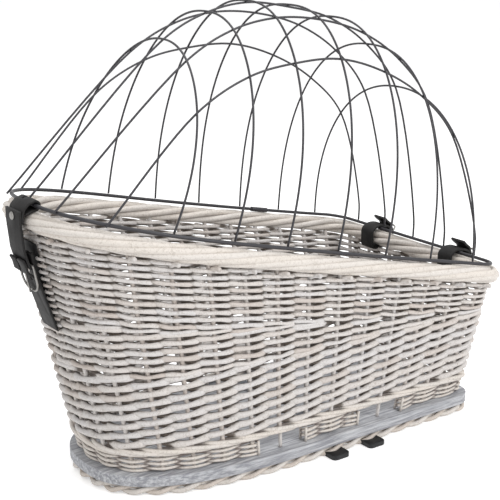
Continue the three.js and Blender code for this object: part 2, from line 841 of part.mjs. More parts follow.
function hingeLoopLowZ() {
  return borderZ(RIM_LOW_X) - BORDER_TALL / 2 - HINGE_LOOP_ROOM / 2 - LEATHER / 2;
}

function hingeBarZ() {
  return borderZ(RIM_LOW_X) + 2;
}

// The strap starts at its standing tail, runs down outside, in under the border, up inside and over the ring,
// and ends in a fold round the buckle's bar.
function hingeStrapPath() {
  const x = RIM_LOW_X;
  const half = hingeLoopHalf();
  const low = hingeLoopLowZ();
  const top = RING_LOW_Z + RING_WIRE_D / 2 + SEAT_GAP + LEATHER / 2;
  const bar = hingeBar();
  const fold = buckleFoldRadius();
  const outer = bar.x + fold + LEATHER + 2 * SEAT_GAP;
  const bend = 5;
  const shoulder = 9;
  return [
    new THREE.Vector2(x + 7, top + HINGE_TAIL_TALL),
    new THREE.Vector2(x + 11, top + 5),
    new THREE.Vector2(x + 17, top + 0.5),
    new THREE.Vector2(outer - 2, top - 5),
    new THREE.Vector2(outer, top - 11),
    ...arcPoints(new THREE.Vector2(outer - bend, low + bend), bend, bend, 0, -90, 4),
    ...arcPoints(new THREE.Vector2(x - half + bend, low + bend), bend, bend, -90, -180, 4),
    ...arcPoints(new THREE.Vector2(x, top - shoulder), half, shoulder, 180, 90, 6),
    ...arcPoints(new THREE.Vector2(x, top - shoulder), bar.x + fold - x, shoulder, 75, 15, 4),
    ...arcPoints(bar, fold, fold, 0, -150, 6),
  ];
}

// The middle of the leather that is folded round a buckle's bar.
function buckleFoldRadius() {
  return (BUCKLE_WIRE_D + LEATHER) / 2 + SEAT_GAP;
}

function hingeBar() {
  const out = BORDER_WIDE / 2 + SEAT_GAP + LEATHER / 2 + buckleFoldRadius();
  return new THREE.Vector2(RIM_LOW_X + out, hingeBarZ());
}

function prongSlot(x, y, z, tall) {
  return solid(block(x, y, z, 12 * LEATHER, PRONG_D + 2 * PRONG_ROOM, tall));
}

function hingeStrap(y) {
  const strap = strapFromPath(hingeStrapPath(), HINGE_STRAP_WIDE).translate(0, y, 0);
  const bar = hingeBar();
  const slot = prongSlot(bar.x + 3 * LEATHER, y, bar.y - 1, 22);
  return skin(solid(strap).subtract(slot));
}

// A buckle lies in its own x and y plane: its bar at the origin along y, its frame out to x = long,
// with the outside of the strap on its -z side.
function buckleFrame(long, strapWide, farCorner) {
  const wide = strapWide + 2 * BUCKLE_SIDE_ROOM + BUCKLE_WIRE_D;
  const nearCorner = BUCKLE_SIDE_ROOM + BUCKLE_WIRE_D / 2;
  const corners = [
    [nearCorner, wide / 2 - nearCorner, nearCorner, 180],
    [long - farCorner, wide / 2 - farCorner, farCorner, 90],
    [long - farCorner, -wide / 2 + farCorner, farCorner, 0],
    [nearCorner, -wide / 2 + nearCorner, nearCorner, -90],
  ];
  const points = corners.flatMap(([x, y, radius, from]) =>
    arcPoints(new THREE.Vector2(x, y), radius, radius, from, from - 90, 3));
  return loft(frameSections(points), true);
}

function frameSections(points) {
  return points.map((p, i) => {
    const before = points[(i + points.length - 1) % points.length];
    const after = points[(i + 1) % points.length];
    const along = after.clone().sub(before).normalize();
    return circlePoints(BUCKLE_WIRE_D / 2, BUCKLE_SIDES).map((q) =>
      new THREE.Vector3(p.x - along.y * q.x, p.y + along.x * q.x, q.y));
  });
}

// The prong's eye turns round the bar, and its pin lies on the far side of the frame.
function buckleProng(long) {
  const eye = (BUCKLE_WIRE_D + PRONG_D) / 2 + SEAT_GAP;
  const around = arcPoints(new THREE.Vector2(0, 0), eye, eye, -90, -350, 10);
  const points = [
    new THREE.Vector3(long + PRONG_D, 0, -eye - SEAT_GAP),
    new THREE.Vector3(long / 2, 0, -eye - SEAT_GAP),
    ...around.map((p) => new THREE.Vector3(p.x, 0, p.y)),
  ];
  return wireAlong(new THREE.CatmullRomCurve3(points, false, "centripetal"), PRONG_D, PRONG_STEPS, WIRE_SIDES);
}

function addBuckle(suffix, prefix, bar, y, tiltDegrees, long, strapWide, farCorner) {
  const holder = new THREE.Group();
  holder.position.set(bar.x, y, bar.y);
  holder.rotation.y = (tiltDegrees * Math.PI) / 180;
  group.add(holder);
  add(prefix + "_buckle" + suffix, "nickel", buckleFrame(long, strapWide, farCorner), holder);
  add(prefix + "_prong" + suffix, "nickel", buckleProng(long), holder);
}

function addHingeStraps() {
  for (const [suffix, y] of [["_near", -HINGE_STRAP_Y], ["_far", HINGE_STRAP_Y]]) {
    add("hinge_strap" + suffix, "leather", hingeStrap(y));
    const corner = 2 * BUCKLE_WIRE_D;
    addBuckle(suffix, "hinge", hingeBar(), y, -HINGE_BUCKLE_TILT, HINGE_BUCKLE_LONG, HINGE_STRAP_WIDE, corner);
  }
}

// A place beside the wall's high tip: on its face at height z, then straight out from the face.
function besideTip(z, out) {
  const up = tipDirection();
  return new THREE.Vector2(wallPoint(0, z, 0).x - up.y * out, z + up.x * out);
}

function tipDirection() {
  const low = wallPoint(0, BOARD_TOP, 0);
  const high = wallPoint(0, wallTopZ(0), 0);
  return new THREE.Vector2(high.x - low.x, high.z - low.z).normalize();
}

// Distances from the wall's face to the middles of the layers of the closure.
const BACKING_OUT = SEAT_GAP + BACKING_THICK / 2;
const BILLET_OUT = BACKING_OUT + BACKING_THICK / 2 + SEAT_GAP + LEATHER / 2;

function closureBar() {
  return besideTip(CLOSURE_BAR_Z, BILLET_OUT + CLOSURE_STAND_OFF + buckleFoldRadius());
}

// The outer face of the tab that hangs from the ring, outside the border.
function tabOuterX() {
  return RIM_HIGH_X - BORDER_WIDE / 2 - CLOSURE_TAB_CLEAR - LEATHER;
}

function closureBacking() {
  const path = [besideTip(CLOSURE_FOLD_Z - 4, BACKING_OUT), besideTip(BACKING_TOP_Z, BACKING_OUT)];
  return strapFromPath(path, BACKING_WIDE, BACKING_THICK);
}

// The tab is folded round the ring, with a slot for the foot of the middle runner.
function closureTab() {
  const ring = new THREE.Vector2(RIM_HIGH_X, RING_HIGH_Z);
  const fold = (RING_WIRE_D + LEATHER) / 2 + CLOSURE_FOLD_ROOM;
  const legX = tabOuterX() + LEATHER / 2;
  const path = [
    new THREE.Vector2(legX + LEATHER + 2 * SEAT_GAP, ring.y - 8),
    new THREE.Vector2(ring.x - 5, ring.y - fold - 0.8),
    ...arcPoints(ring, fold, fold, -90, 90, 8),
    new THREE.Vector2(ring.x - 7, ring.y + 2.4),
    new THREE.Vector2(legX + 2, ring.y - 2.5),
    new THREE.Vector2(legX, ring.y - 8),
    new THREE.Vector2(legX, CLOSURE_TAB_LOW_Z),
  ];
  const slotWide = WIRE_D + 4 * SEAT_GAP;
  const slot = block(ring.x + RING_WIRE_D, 0, ring.y + fold, 4 * RING_WIRE_D, slotWide, 2 * fold);
  return skin(solid(strapFromPath(path, CLOSURE_WIDE).translate(0, CLOSURE_Y, 0)).subtract(solid(slot)));
}

// The strap hangs from its stud on the tab and ends in a fold round the buckle's bar.
function closureStrapPath() {
  const x = tabOuterX() - SEAT_GAP - LEATHER / 2;
  const bar = closureBar();
  const fold = buckleFoldRadius();
  const lean = 90 + (Math.atan2(-tipDirection().x, tipDirection().y) * 180) / Math.PI;
  const inner = BILLET_OUT + CLOSURE_STAND_OFF;
  return [
    new THREE.Vector2(x, CLOSURE_TOP_Z),
    new THREE.Vector2(x, CLOSURE_TAB_LOW_Z - 1),
    besideTip(CLOSURE_BAR_Z + 16, inner + 2 * fold + 1),
    ...arcPoints(bar, fold, fold, lean + 90, lean + 270, 8),
    besideTip(CLOSURE_BAR_Z + 12, inner),
  ];
}

function closureStrap() {
  const hole = disc(0, 0, 0, STUD_POST_D / 2 + SEAT_GAP, 4 * LEATHER, 12).rotateY(Math.PI / 2);
  hole.translate(tabOuterX() - LEATHER / 2, CLOSURE_Y, STUD_Z);
  const bar = closureBar();
  const slot = prongSlot(bar.x, CLOSURE_Y, bar.y - 1, 12);
  const strap = strapFromPath(closureStrapPath(), CLOSURE_WIDE).translate(0, CLOSURE_Y, 0);
  return skin(solid(strap).subtract(solid(hole)).subtract(slot));
}

// The lower strap rises from its fold, passes inside the buckle's end and lies outside the upper strap.
function closureBillet() {
  const inner = BILLET_OUT + CLOSURE_STAND_OFF;
  const outer = inner + 2 * buckleFoldRadius() + LEATHER + SEAT_GAP;
  const railZ = CLOSURE_BAR_Z - CLOSURE_BUCKLE_LONG;
  const path = [
    besideTip(CLOSURE_FOLD_Z, BILLET_OUT),
    besideTip(railZ + 0.4 * CLOSURE_WIDE + 1, inner),
    besideTip(CLOSURE_BAR_Z - 6, outer),
    besideTip(CLOSURE_BAR_Z + 2, outer + 0.2),
    besideTip(CLOSURE_TIP_Z, outer + 1.8),
  ];
  const slot = prongSlot(closureBar().x, CLOSURE_Y, CLOSURE_BAR_Z - 9, 26);
  return skin(solid(strapFromPath(path, CLOSURE_WIDE).translate(0, CLOSURE_Y, 0)).subtract(slot));
}

function closureStud() {
  const face = -(tabOuterX() - 2 * SEAT_GAP - LEATHER);
  const profile = [
    new THREE.Vector2(0, face - LEATHER),
    new THREE.Vector2(STUD_POST_D / 2, face - LEATHER),
    new THREE.Vector2(STUD_POST_D / 2, face),
    new THREE.Vector2(STUD_D / 2, face),
    new THREE.Vector2(STUD_D / 2 - 1, face + STUD_RISE),
    new THREE.Vector2(0, face + STUD_RISE),
  ];
  return new THREE.LatheGeometry(profile, ROUND_SIDES).rotateZ(Math.PI / 2).translate(0, CLOSURE_Y, STUD_Z);
}

function addClosure() {
  add("closure_backing", "leather", closureBacking());
  add("closure_tab", "leather", closureTab());
  add("closure_strap", "leather", closureStrap());
  add("closure_billet", "leather", closureBillet());
  add("closure_stud", "nickel", closureStud());
  const lean = (Math.atan2(-tipDirection().x, tipDirection().y) * 180) / Math.PI;
  const corner = 0.4 * CLOSURE_WIDE;
  addBuckle("", "closure", closureBar(), CLOSURE_Y, 90 - lean, CLOSURE_BUCKLE_LONG, CLOSURE_WIDE, corner);
}

// Clamps

function roundedBar(long, wide, thick, radius) {
  const [x, y] = [wide / 2 - radius, long / 2 - radius];
  const shape = new THREE.Shape([
    ...arcPoints(new THREE.Vector2(x, y), radius, radius, 0, 90, 4),
    ...arcPoints(new THREE.Vector2(-x, y), radius, radius, 90, 180, 4),
    ...arcPoints(new THREE.Vector2(-x, -y), radius, radius, 180, 270, 4),
    ...arcPoints(new THREE.Vector2(x, -y), radius, radius, 270, 360, 4),
  ]);
  return new THREE.ExtrudeGeometry(shape, { depth: thick, bevelEnabled: false });
}

function clampBar(x) {
  const long = 2 * (BOARD_HALF_WIDTH + CLAMP_PROUD);
  let bar = solid(roundedBar(long, CLAMP_WIDE, CLAMP_THICK, CLAMP_CORNER_R).translate(x, 0, SEAT_GAP));
  for (const y of [-SCREW_Y, SCREW_Y]) {
    bar = bar.subtract(solid(disc(x, y, 0, SCREW_D / 2 + SEAT_GAP, 4 * CLAMP_THICK)));
    bar = bar.subtract(solid(disc(x, y, 0, SCREW_HEAD_D / 2 + SEAT_GAP, 2 * (SCREW_HEAD_TALL + 2 * SEAT_GAP))));
  }
  return skin(bar);
}

function clampScrew() {
  const low = SEAT_GAP;
  const profile = [
    new THREE.Vector2(0, low),
    new THREE.Vector2(SCREW_HEAD_D / 2, low),
    new THREE.Vector2(SCREW_HEAD_D / 2, low + SCREW_HEAD_TALL),
    new THREE.Vector2(SCREW_D / 2, low + SCREW_HEAD_TALL),
    new THREE.Vector2(SCREW_D / 2, SCREW_LONG - 0.6),
    new THREE.Vector2(SCREW_D / 2 - 0.6, SCREW_LONG),
    new THREE.Vector2(0, SCREW_LONG),
  ];
  return new THREE.LatheGeometry(profile, ROUND_SIDES).rotateX(Math.PI / 2);
}

function clampWasher() {
  const [inner, outer] = [SCREW_D / 2 + SEAT_GAP, WASHER_D / 2];
  const low = BOARD_TOP + SEAT_GAP;
  const profile = [
    new THREE.Vector2(inner, low),
    new THREE.Vector2(outer, low),
    new THREE.Vector2(outer, low + WASHER_THICK),
    new THREE.Vector2(inner, low + WASHER_THICK),
    new THREE.Vector2(inner, low),
  ];
  return new THREE.LatheGeometry(profile, ROUND_SIDES).rotateX(Math.PI / 2);
}

// A tapering nut with two wings that rise from its flanks.
function wingNut() {
  const low = BOARD_TOP + 2 * SEAT_GAP + WASHER_THICK;
  const cone = new THREE.CylinderGeometry(NUT_D / 2 - 1, NUT_D / 2, NUT_TALL, ROUND_SIDES);
  let nut = solid(cone.rotateX(Math.PI / 2).translate(0, 0, low + NUT_TALL / 2));
  for (const side of [-1, 1]) {
    const tip = new THREE.Vector2(side * (NUT_SPAN / 2 - 4), low + NUT_TALL + NUT_WING_TALL - 8);
    const shape = new THREE.Shape([
      new THREE.Vector2(side * (SCREW_D / 2 + 1), low + 1),
      new THREE.Vector2(side * (NUT_D / 2 + 2), low + 1.5),
      ...arcPoints(tip, side * 4, 5, -30, 120, 6),
      new THREE.Vector2(side * (SCREW_D / 2 + 1), low + NUT_TALL - 0.5),
    ]);
    const wing = new THREE.ExtrudeGeometry(shape, { depth: NUT_WING_THICK, bevelEnabled: false });
    nut = nut.add(solid(facingOut(welded(wing.translate(0, 0, -NUT_WING_THICK / 2).rotateX(Math.PI / 2)))));
  }
  return skin(nut.subtract(solid(disc(0, 0, low, SCREW_D / 2 + SEAT_GAP, 4 * NUT_TALL))));
}

function underStrip() {
  const long = 2 * (BOARD_HALF_WIDTH - 4);
  return roundedBar(long, STRIP_WIDE, STRIP_THICK, 2)
    .translate(STRIP_X, 0, BOARD_BOTTOM - SEAT_GAP - STRIP_THICK);
}

function addClamps() {
  CLAMP_X.forEach((x, i) => {
    add("clamp_bar_" + (i + 1), "steel", clampBar(x));
    for (const [side, y] of [["near", -SCREW_Y], ["far", SCREW_Y]]) {
      const suffix = "_" + (i + 1) + "_" + side;
      add("clamp_screw" + suffix, "zinc", clampScrew()).position.set(x, y, 0);
      add("clamp_washer" + suffix, "zinc", clampWasher()).position.set(x, y, 0);
      add("wing_nut" + suffix, "zinc", wingNut()).position.set(x, y, 0);
    }
  });
  add("under_strip", "steel", underStrip());
}

add("base_board", "board", baseBoard());
add("foot_border", "willow", footBorder());
addFootWeave();
add("waling_band", "band", walingBand());
add("wicker_wall", "willow", wickerWall());
add("rim_border", "band", rimBorder());
addGrille();
addHingeStraps();
addClosure();
addClamps();

group.position.x = -new THREE.Box3().setFromObject(group).getCenter(new THREE.Vector3()).x;

export default group;
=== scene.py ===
"""Looks of a dog bicycle basket: woven willow on a painted board, a wire grille, black leather straps.

Lengths are worked out in millimetres in the part's frame and become metres where a mesh is made.
The tall rounded end is at -X, the low square end at +X and the near side at -Y.
"""

import math
import random
from functools import partial

import bmesh
import bpy
import numpy as np
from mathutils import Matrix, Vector


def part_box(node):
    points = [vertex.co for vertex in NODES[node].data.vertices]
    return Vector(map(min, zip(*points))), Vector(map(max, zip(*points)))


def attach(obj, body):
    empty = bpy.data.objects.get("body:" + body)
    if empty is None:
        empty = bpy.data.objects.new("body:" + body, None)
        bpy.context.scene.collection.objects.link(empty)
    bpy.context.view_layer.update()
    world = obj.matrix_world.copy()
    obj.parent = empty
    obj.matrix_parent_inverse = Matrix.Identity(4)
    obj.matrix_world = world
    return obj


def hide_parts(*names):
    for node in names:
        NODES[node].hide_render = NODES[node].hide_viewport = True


bl_info = {
    "name": "Dog bicycle basket",
    "version": (1, 0, 0),
    "blender": (4, 5, 0),
    "location": "View3D > Sidebar > Basket",
    "description": "Builds the woven basket, its grille, straps and clamps round the packed frame",
    "category": "Object",
}

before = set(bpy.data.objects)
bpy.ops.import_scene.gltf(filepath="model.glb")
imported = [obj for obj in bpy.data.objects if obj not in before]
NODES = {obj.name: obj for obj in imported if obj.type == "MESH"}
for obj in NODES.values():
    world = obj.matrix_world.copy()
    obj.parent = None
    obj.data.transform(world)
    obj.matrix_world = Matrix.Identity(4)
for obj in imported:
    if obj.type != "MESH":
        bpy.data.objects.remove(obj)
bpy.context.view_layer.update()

MM = 0.001

# Places that the part's own source gives, in millimetres before its box was centred
SHIFT_X = -6.2102
CORNER_R = 24
RIM = dict(high_x=-264.5, low_x=267.5, shoulder_x=-49, half_width=131.8, flare=0.055, roundness=2.6)
BOARD = dict(high_x=-216.6, low_x=273, shoulder_x=20, half_width=114, flare=0, roundness=2.55)
BOARD_BOTTOM = 12.3
BOARD_TOP = 24.3
BOARD_EDGE_ROUND = 1.6
FOOT_LOW, FOOT_HIGH = 24.6, 43.1
WALING_LOW, WALING_HIGH = 43.4, 55.4
WALL_LOW = 55.7
WALL_THICK = 11
WALL_INSET_AT_BOARD = 8
WALL_OUTSIDE_RING = 4
RING_HIGH_Z, RING_LOW_Z, RING_SAG = 320.3, 198.9, 3.2
RING_R = 2
WIRE_R = 1.2
RING_SEAT, RING_LIFT, RING_LIFT_END_X = 1.4, 3.4, 100
BORDER_WIDE, BORDER_TALL, BORDER_SEAT = 22, 20, 0.8
FOOT_ROPE_D, FOOT_ROPE_INSET = 12, 7
SLOT_1_X, SLOT_2_X = (-50, 8), (91, 153)
SLOT_STAKE_X = (-21, 123)
HOOP_FIRST_X, HOOP_SPACING = -166.4, 64.9
# Lean, rise over the rim's high end, roundness and bow of each hoop
HOOPS = (
    (62.7, 152.1, 2.18, 0.06),
    (52.3, 178.1, 2.31, 0.06),
    (40.6, 187.4, 2.39, 0.07),
    (33.3, 180.8, 2.56, 0.06),
    (31.8, 165.0, 2.42, 0.05),
    (24.9, 130.4, 2.35, 0.02),
    (7.2, 76.5, 2.19, 0.0),
)
RUNNERS = ((-102, -94.5, -107), (-57, -53, -55), (0, 0, 0), (57, 53, 55), (102, 94.5, 107))
SCREW_PLACES = [(x, y) for x in (50, 104) for y in (-56, 56)]
SCREW_HOLE_R = 3.3
HINGE_Y = 72
CLOSURE_Y = -6
CLOSURE_LEAN = 12.07
# Each buckle's bar in x and z, its tilt in degrees, its length, its strap's width and its far corners
HINGE_BUCKLE = dict(bar=(282.9, 187.5), tilt_degrees=-50, long=15, strap_wide=22, far_corner=4.8)
CLOSURE_BUCKLE = dict(
    bar=(-271.576, 260.028), tilt_degrees=90 - CLOSURE_LEAN, long=30, strap_wide=32, far_corner=12.8
)
BUCKLE_WIRE_R, BUCKLE_SIDE_ROOM, BUCKLE_NEAR_CORNER = 1.2, 0.5, 1.7
PRONG_R, PRONG_EYE_R = 1.0, 2.5


# Settings that a user would change


def count_property(label, what, value, low, high):
    return bpy.props.IntProperty(name=label, description=what, default=value, min=low, max=high)


def length_property(label, what, value):
    return bpy.props.FloatProperty(name=label, description=what, default=value, unit="LENGTH")


class BasketSizes(bpy.types.PropertyGroup):
    stakes: count_property("Stakes", "Upright rods round the basket", 36, 12, 80)
    stake_d: length_property("Stake", "Thickness of an upright rod", 0.0052)
    border_rods: count_property("Border rods", "Rods that wind round the rim", 6, 3, 16)
    border_turns: count_property("Border turns", "Turns of each rod on its way round the rim", 5, 1, 20)
    floor_size: length_property("Floor", "Side of the floor", 60)


def colour_property(label, what, hex_value):
    return bpy.props.FloatVectorProperty(
        name=label, description=what, subtype="COLOR", size=4, min=0, max=1, default=colour(hex_value)
    )


def colour(hex_value):
    """An sRGB hex value as the linear colour that the shaders take."""
    parts = [int(hex_value[i : i + 2], 16) / 255 for i in (1, 3, 5)]
    linear = [c / 12.92 if c <= 0.04045 else ((c + 0.055) / 1.055) ** 2.4 for c in parts]
    return (*linear, 1.0)


class BasketColours(bpy.types.PropertyGroup):
    willow: colour_property("Willow", "Whitewashed rods of the wall", "#dddad8")
    # Painted shade: the bare colours go to points deep in the weave, so they stand for the bare willow and
    # for the shade in its hollows.
    willow_bare_and_shade: colour_property("Bare willow", "Rods where the wash has not reached", "#625a54")
    band: colour_property("Border willow", "Smooth rods of the border and the foot", "#e2ddd7")
    # Painted shade as for the wall: this bare colour darkens the hollows of the border, the waling and the
    # foot.
    band_bare_and_shade: colour_property("Bare border", "Border rods in their hollows", "#8d8481")
    board: colour_property("Board", "Paint of the board", "#aeb0b5")
    wire: colour_property("Wire", "Coating of the grille", "#37363a")
    leather: colour_property("Leather", "Dyed straps", "#0b0a0a")


# Plans and heights


class Plan:
    """A closed outline as a function of u: 0 at the high tip, 0.5 at the low end, near side first."""

    def __init__(self, high_x, low_x, shoulder_x, half_width, flare, roundness):
        turn = np.linspace(0, math.pi / 2, 401)
        power = 2 / roundness
        x = [shoulder_x - (shoulder_x - high_x) * np.abs(np.cos(turn)) ** power]
        y = [-half_width * np.abs(np.sin(turn)) ** power]
        corner_x = low_x - CORNER_R
        x.append(np.linspace(shoulder_x, corner_x, 401)[1:])
        y.append(-(half_width + flare * (x[-1] - shoulder_x)))
        corner_y = y[-1][-1] + CORNER_R
        turn = np.linspace(0, math.pi / 2, 61)[1:]
        x.append(corner_x + CORNER_R * np.sin(turn))
        y.append(corner_y - CORNER_R * np.cos(turn))
        x.append(np.full(60, float(low_x)))
        y.append(corner_y * (1 - np.arange(1, 61) / 60))
        self.x, self.y = np.concatenate(x), np.concatenate(y)
        step = np.hypot(np.diff(self.x), np.diff(self.y))
        self.reach = np.concatenate([[0], np.cumsum(step)])
        along_x, along_y = np.gradient(self.x), np.gradient(self.y)
        size = np.hypot(along_x, along_y)
        self.normal_x, self.normal_y = -along_y / size, along_x / size
        self.normal_x[0], self.normal_y[0] = 1, 0
        self.normal_x[-1], self.normal_y[-1] = -1, 0
        self.around = 2 * self.reach[-1]

    def at(self, u, inset=0):
        """The outline's x and y at u, moved inwards by inset."""
        u = np.asarray(u, float)
        wrapped = u - np.floor(u)
        far = wrapped > 0.5
        goal = 2 * np.where(far, 1 - wrapped, wrapped) * self.reach[-1]
        tables = (self.x, self.y, self.normal_x, self.normal_y)
        x, y, nx, ny = (np.interp(goal, self.reach, table) for table in tables)
        size = np.hypot(nx, ny)
        x, y = x + inset * nx / size, y + inset * ny / size
        return x, np.where(far, -y, y)

    def u_at_x(self, x):
        return float(np.interp(x, self.x, self.reach)) / self.around

    def high_u_at_y(self, y):
        u = float(np.interp(abs(y), -self.y[:401], self.reach[:401])) / self.around
        return 1 - u if y > 0 else u


RIM_PLAN = Plan(**RIM)
BOARD_PLAN = Plan(**BOARD)


def ring_z(x):
    t = (x - RIM["high_x"]) / (RIM["low_x"] - RIM["high_x"])
    return RING_HIGH_Z + (RING_LOW_Z - RING_HIGH_Z) * t - RING_SAG * 4 * t * (1 - t)


def border_z(x):
    lift = RING_LIFT * np.maximum(0, (RING_LIFT_END_X - x) / (RING_LIFT_END_X - RIM["high_x"]))
    return ring_z(x) - RING_R - RING_SEAT - lift - BORDER_TALL / 2


def rope_height(x):
    return FOOT_ROPE_D / 2 + 0 * x


def wall_at(u, z, depth):
    """Points of the tapering wall, depth millimetres in from its outer face."""
    u, z, depth = np.broadcast_arrays(np.asarray(u, float), z, depth)
    foot_x, foot_y = BOARD_PLAN.at(u, WALL_INSET_AT_BOARD + depth)
    rim_x, rim_y = RIM_PLAN.at(u, depth - WALL_OUTSIDE_RING)
    rise = (z - BOARD_TOP) / (border_z(rim_x) - BOARD_TOP)
    return np.stack([foot_x + (rim_x - foot_x) * rise, foot_y + (rim_y - foot_y) * rise, z], -1)


def wall_top(u):
    x, _ = RIM_PLAN.at(u)
    return border_z(x) - BORDER_TALL / 2 - BORDER_SEAT


def wall_u(x, z):
    """Where the near side of the wall's outer face stands at x, at height z."""
    low, high = 0.0, 0.5
    for _ in range(40):
        middle = (low + high) / 2
        if wall_at(middle, z, 0)[0] < x:
            low = middle
        else:
            high = middle
    return low


# Making meshes


def new_object(name, data):
    obj = bpy.data.objects.new(name, data)
    bpy.context.scene.collection.objects.link(obj)
    return obj


def finish_piece(obj, body, slot, look, *nodes):
    """Gives a piece its finish, its body and the CAD nodes that it stands for. slot is not used."""
    obj.data.materials.clear()
    obj.data.materials.append(finish(look))
    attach(obj, body)
    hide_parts(*nodes)


def to_metres(points):
    points = np.asarray(points, float).reshape(-1, 3) + (SHIFT_X, 0, 0)
    return points * MM


# How far the weave's faces stand from its middle, in millimetres
FACE_OFFSET = 6.5


class Rods:
    """Round rods, each bent along its own points, that become one mesh with a few attributes.

    tone is one number for each rod. proud says how far out of the weave a point lies: 0 deep in it, 1 on
    either face; the willow finish paints shade by it, darker the deeper a point lies, and a proud given for a
    rod sets that shade directly. Where outward is given, it is worked out for each vertex from the rod's own
    offset from the weave's middle, in millimetres.
    """

    def __init__(self, name, resolution=1):
        self.curve = bpy.data.curves.new(name, "CURVE")
        self.curve.dimensions = "3D"
        self.curve.bevel_depth = MM
        self.curve.bevel_resolution = resolution
        self.curve.twist_mode = "MINIMUM"
        self.sides = 4 + 2 * resolution
        self.name = name
        self.tone, self.proud, self.centre, self.outward = [], [], [], []

    def add(self, points, radii, tone=0.5, proud=0.5, closed=False, outward=None):
        places = to_metres(points)
        count = len(places)
        spline = self.curve.splines.new("POLY")
        spline.points.add(count - 1)
        spline.points.foreach_set("co", np.hstack([places, np.ones((count, 1))]).ravel())
        spline.points.foreach_set("radius", np.broadcast_to(np.asarray(radii, float), count).copy())
        spline.use_cyclic_u = closed
        spline.use_smooth = True
        self.tone.append(np.repeat(tone, count * self.sides))
        self.proud.append(np.repeat(np.broadcast_to(np.asarray(proud, float), count), self.sides))
        self.centre.append(np.repeat(places, self.sides, axis=0))
        ways = np.zeros((count, 3)) if outward is None else outward
        self.outward.append(np.repeat(ways, self.sides, axis=0))

    def mesh(self):
        holder = new_object(self.name + "_path", self.curve)
        ready = holder.evaluated_get(bpy.context.evaluated_depsgraph_get())
        made = bpy.data.meshes.new_from_object(ready)
        bpy.data.objects.remove(holder)
        tone, proud = np.concatenate(self.tone), np.concatenate(self.proud)
        centre, outward = np.concatenate(self.centre), np.concatenate(self.outward)
        if len(tone) != len(made.vertices):
            raise RuntimeError(f"{self.name}: {len(made.vertices)} vertices for {len(tone)} values")
        place = np.empty(3 * len(tone), np.float32)
        made.vertices.foreach_get("co", place)
        offset = proud + ((place.reshape(-1, 3) - centre) * outward).sum(1) / MM
        proud = np.where(outward.any(1), np.clip(np.abs(offset) / FACE_OFFSET, 0, 1), proud)
        for label, values in (("tone", tone), ("proud", proud)):
            layer = made.attributes.new(label, "FLOAT", "POINT")
            layer.data.foreach_set("value", values.astype(np.float32))
        work = bmesh.new()
        work.from_mesh(made)
        ends = [e for e in work.edges if e.is_boundary]
        bmesh.ops.holes_fill(work, edges=ends, sides=self.sides)
        bmesh.ops.recalc_face_normals(work, faces=work.faces)
        work.to_mesh(made)
        work.free()
        made.name = self.name
        return made

    def piece(self, body, slot, look, *nodes):
        finish_piece(new_object(self.name, self.mesh()), body, slot, look, *nodes)


def between(t, i, j, s, p, q):
    """The point at s on the straight line from p at t[i] to q at t[j]."""
    return (t[j] - s) / (t[j] - t[i]) * p + (s - t[i]) / (t[j] - t[i]) * q


def smooth_path(points, per_span=8):
    """A centripetal curve through the points."""
    p = [np.asarray(q, float) for q in points]
    p = [2 * p[0] - p[1], *p, 2 * p[-1] - p[-2]]
    out = []
    for a, b, c, d in zip(p, p[1:], p[2:], p[3:]):
        t = [0.0]
        for q, r in ((a, b), (b, c), (c, d)):
            t.append(t[-1] + max(1e-4, np.linalg.norm(r - q)) ** 0.5)
        for s in np.linspace(t[1], t[2], per_span, endpoint=False):
            a1, a2, a3 = between(t, 0, 1, s, a, b), between(t, 1, 2, s, b, c), between(t, 2, 3, s, c, d)
            b1, b2 = between(t, 0, 2, s, a1, a2), between(t, 1, 3, s, a2, a3)
            out.append(between(t, 1, 2, s, b1, b2))
    out.append(p[-2])
    return np.array(out)


def even_path(points, count):
    """The same path with its points evenly spaced."""
    points = np.asarray(points, float)
    reach = np.concatenate([[0], np.cumsum(np.linalg.norm(np.diff(points, axis=0), axis=1))])
    goal = np.linspace(0, reach[-1], count)
    return np.stack([np.interp(goal, reach, points[:, k]) for k in range(3)], -1)


def round_off(work, edges, bevel_mm, segments, made):
    """Rounds the edges of a bmesh and writes it, smooth but for its sharper corners, to the mesh made."""
    bmesh.ops.bevel(
        work,
        geom=edges,
        offset=bevel_mm * MM,
        offset_type="OFFSET",
        segments=segments,
        profile=0.5,
        affect="EDGES",
        material=-1,
        clamp_overlap=True,
    )
    for face in work.faces:
        face.smooth = True
    work.to_mesh(made)
    work.free()
    made.set_sharp_from_angle(angle=math.radians(40))


def rounded_copy(node, name, bevel_mm, segments, sharp_degrees):
    """A copy of a CAD node with its edges rounded."""
    made = NODES[node].data.copy()
    made.name = name
    work = bmesh.new()
    work.from_mesh(made)
    bmesh.ops.remove_doubles(work, verts=work.verts, dist=1e-6)
    limit = math.radians(1)
    bmesh.ops.dissolve_limit(work, angle_limit=limit, verts=work.verts, edges=work.edges)
    sharp = math.radians(sharp_degrees)
    edges = [e for e in work.edges if len(e.link_faces) == 2 and e.calc_face_angle() > sharp]
    round_off(work, edges, bevel_mm, segments, made)
    return new_object(name, made)


# Materials


def feed(tree, node, inputs):
    """Sets a node's inputs to values, or links them to the output sockets that feed them."""
    for key, value in inputs.items():
        if isinstance(value, bpy.types.NodeSocket):
            tree.links.new(value, node.inputs[key])
        else:
            node.inputs[key].default_value = value
    return node


def node_of(tree, kind, inputs=None, **settings):
    """Adds a node."""
    made = tree.nodes.new(kind)
    for key, value in settings.items():
        setattr(made, key, value)
    return feed(tree, made, inputs or {})


def new_material(name):
    material = bpy.data.materials.new(name)
    material.use_nodes = True
    tree = material.node_tree
    tree.nodes.clear()
    shader = node_of(tree, "ShaderNodeBsdfPrincipled")
    out = node_of(tree, "ShaderNodeOutputMaterial", {"Surface": shader.outputs["BSDF"]})
    out.is_active_output = True
    return material, tree, shader


def ramp(tree, value, stops):
    made = node_of(tree, "ShaderNodeValToRGB", {"Fac": value})
    elements = made.color_ramp.elements
    while len(elements) < len(stops):
        elements.new(0.5)
    for element, (place, tint) in zip(elements, stops):
        element.position = place
        element.color = tint
    return made.outputs["Color"]


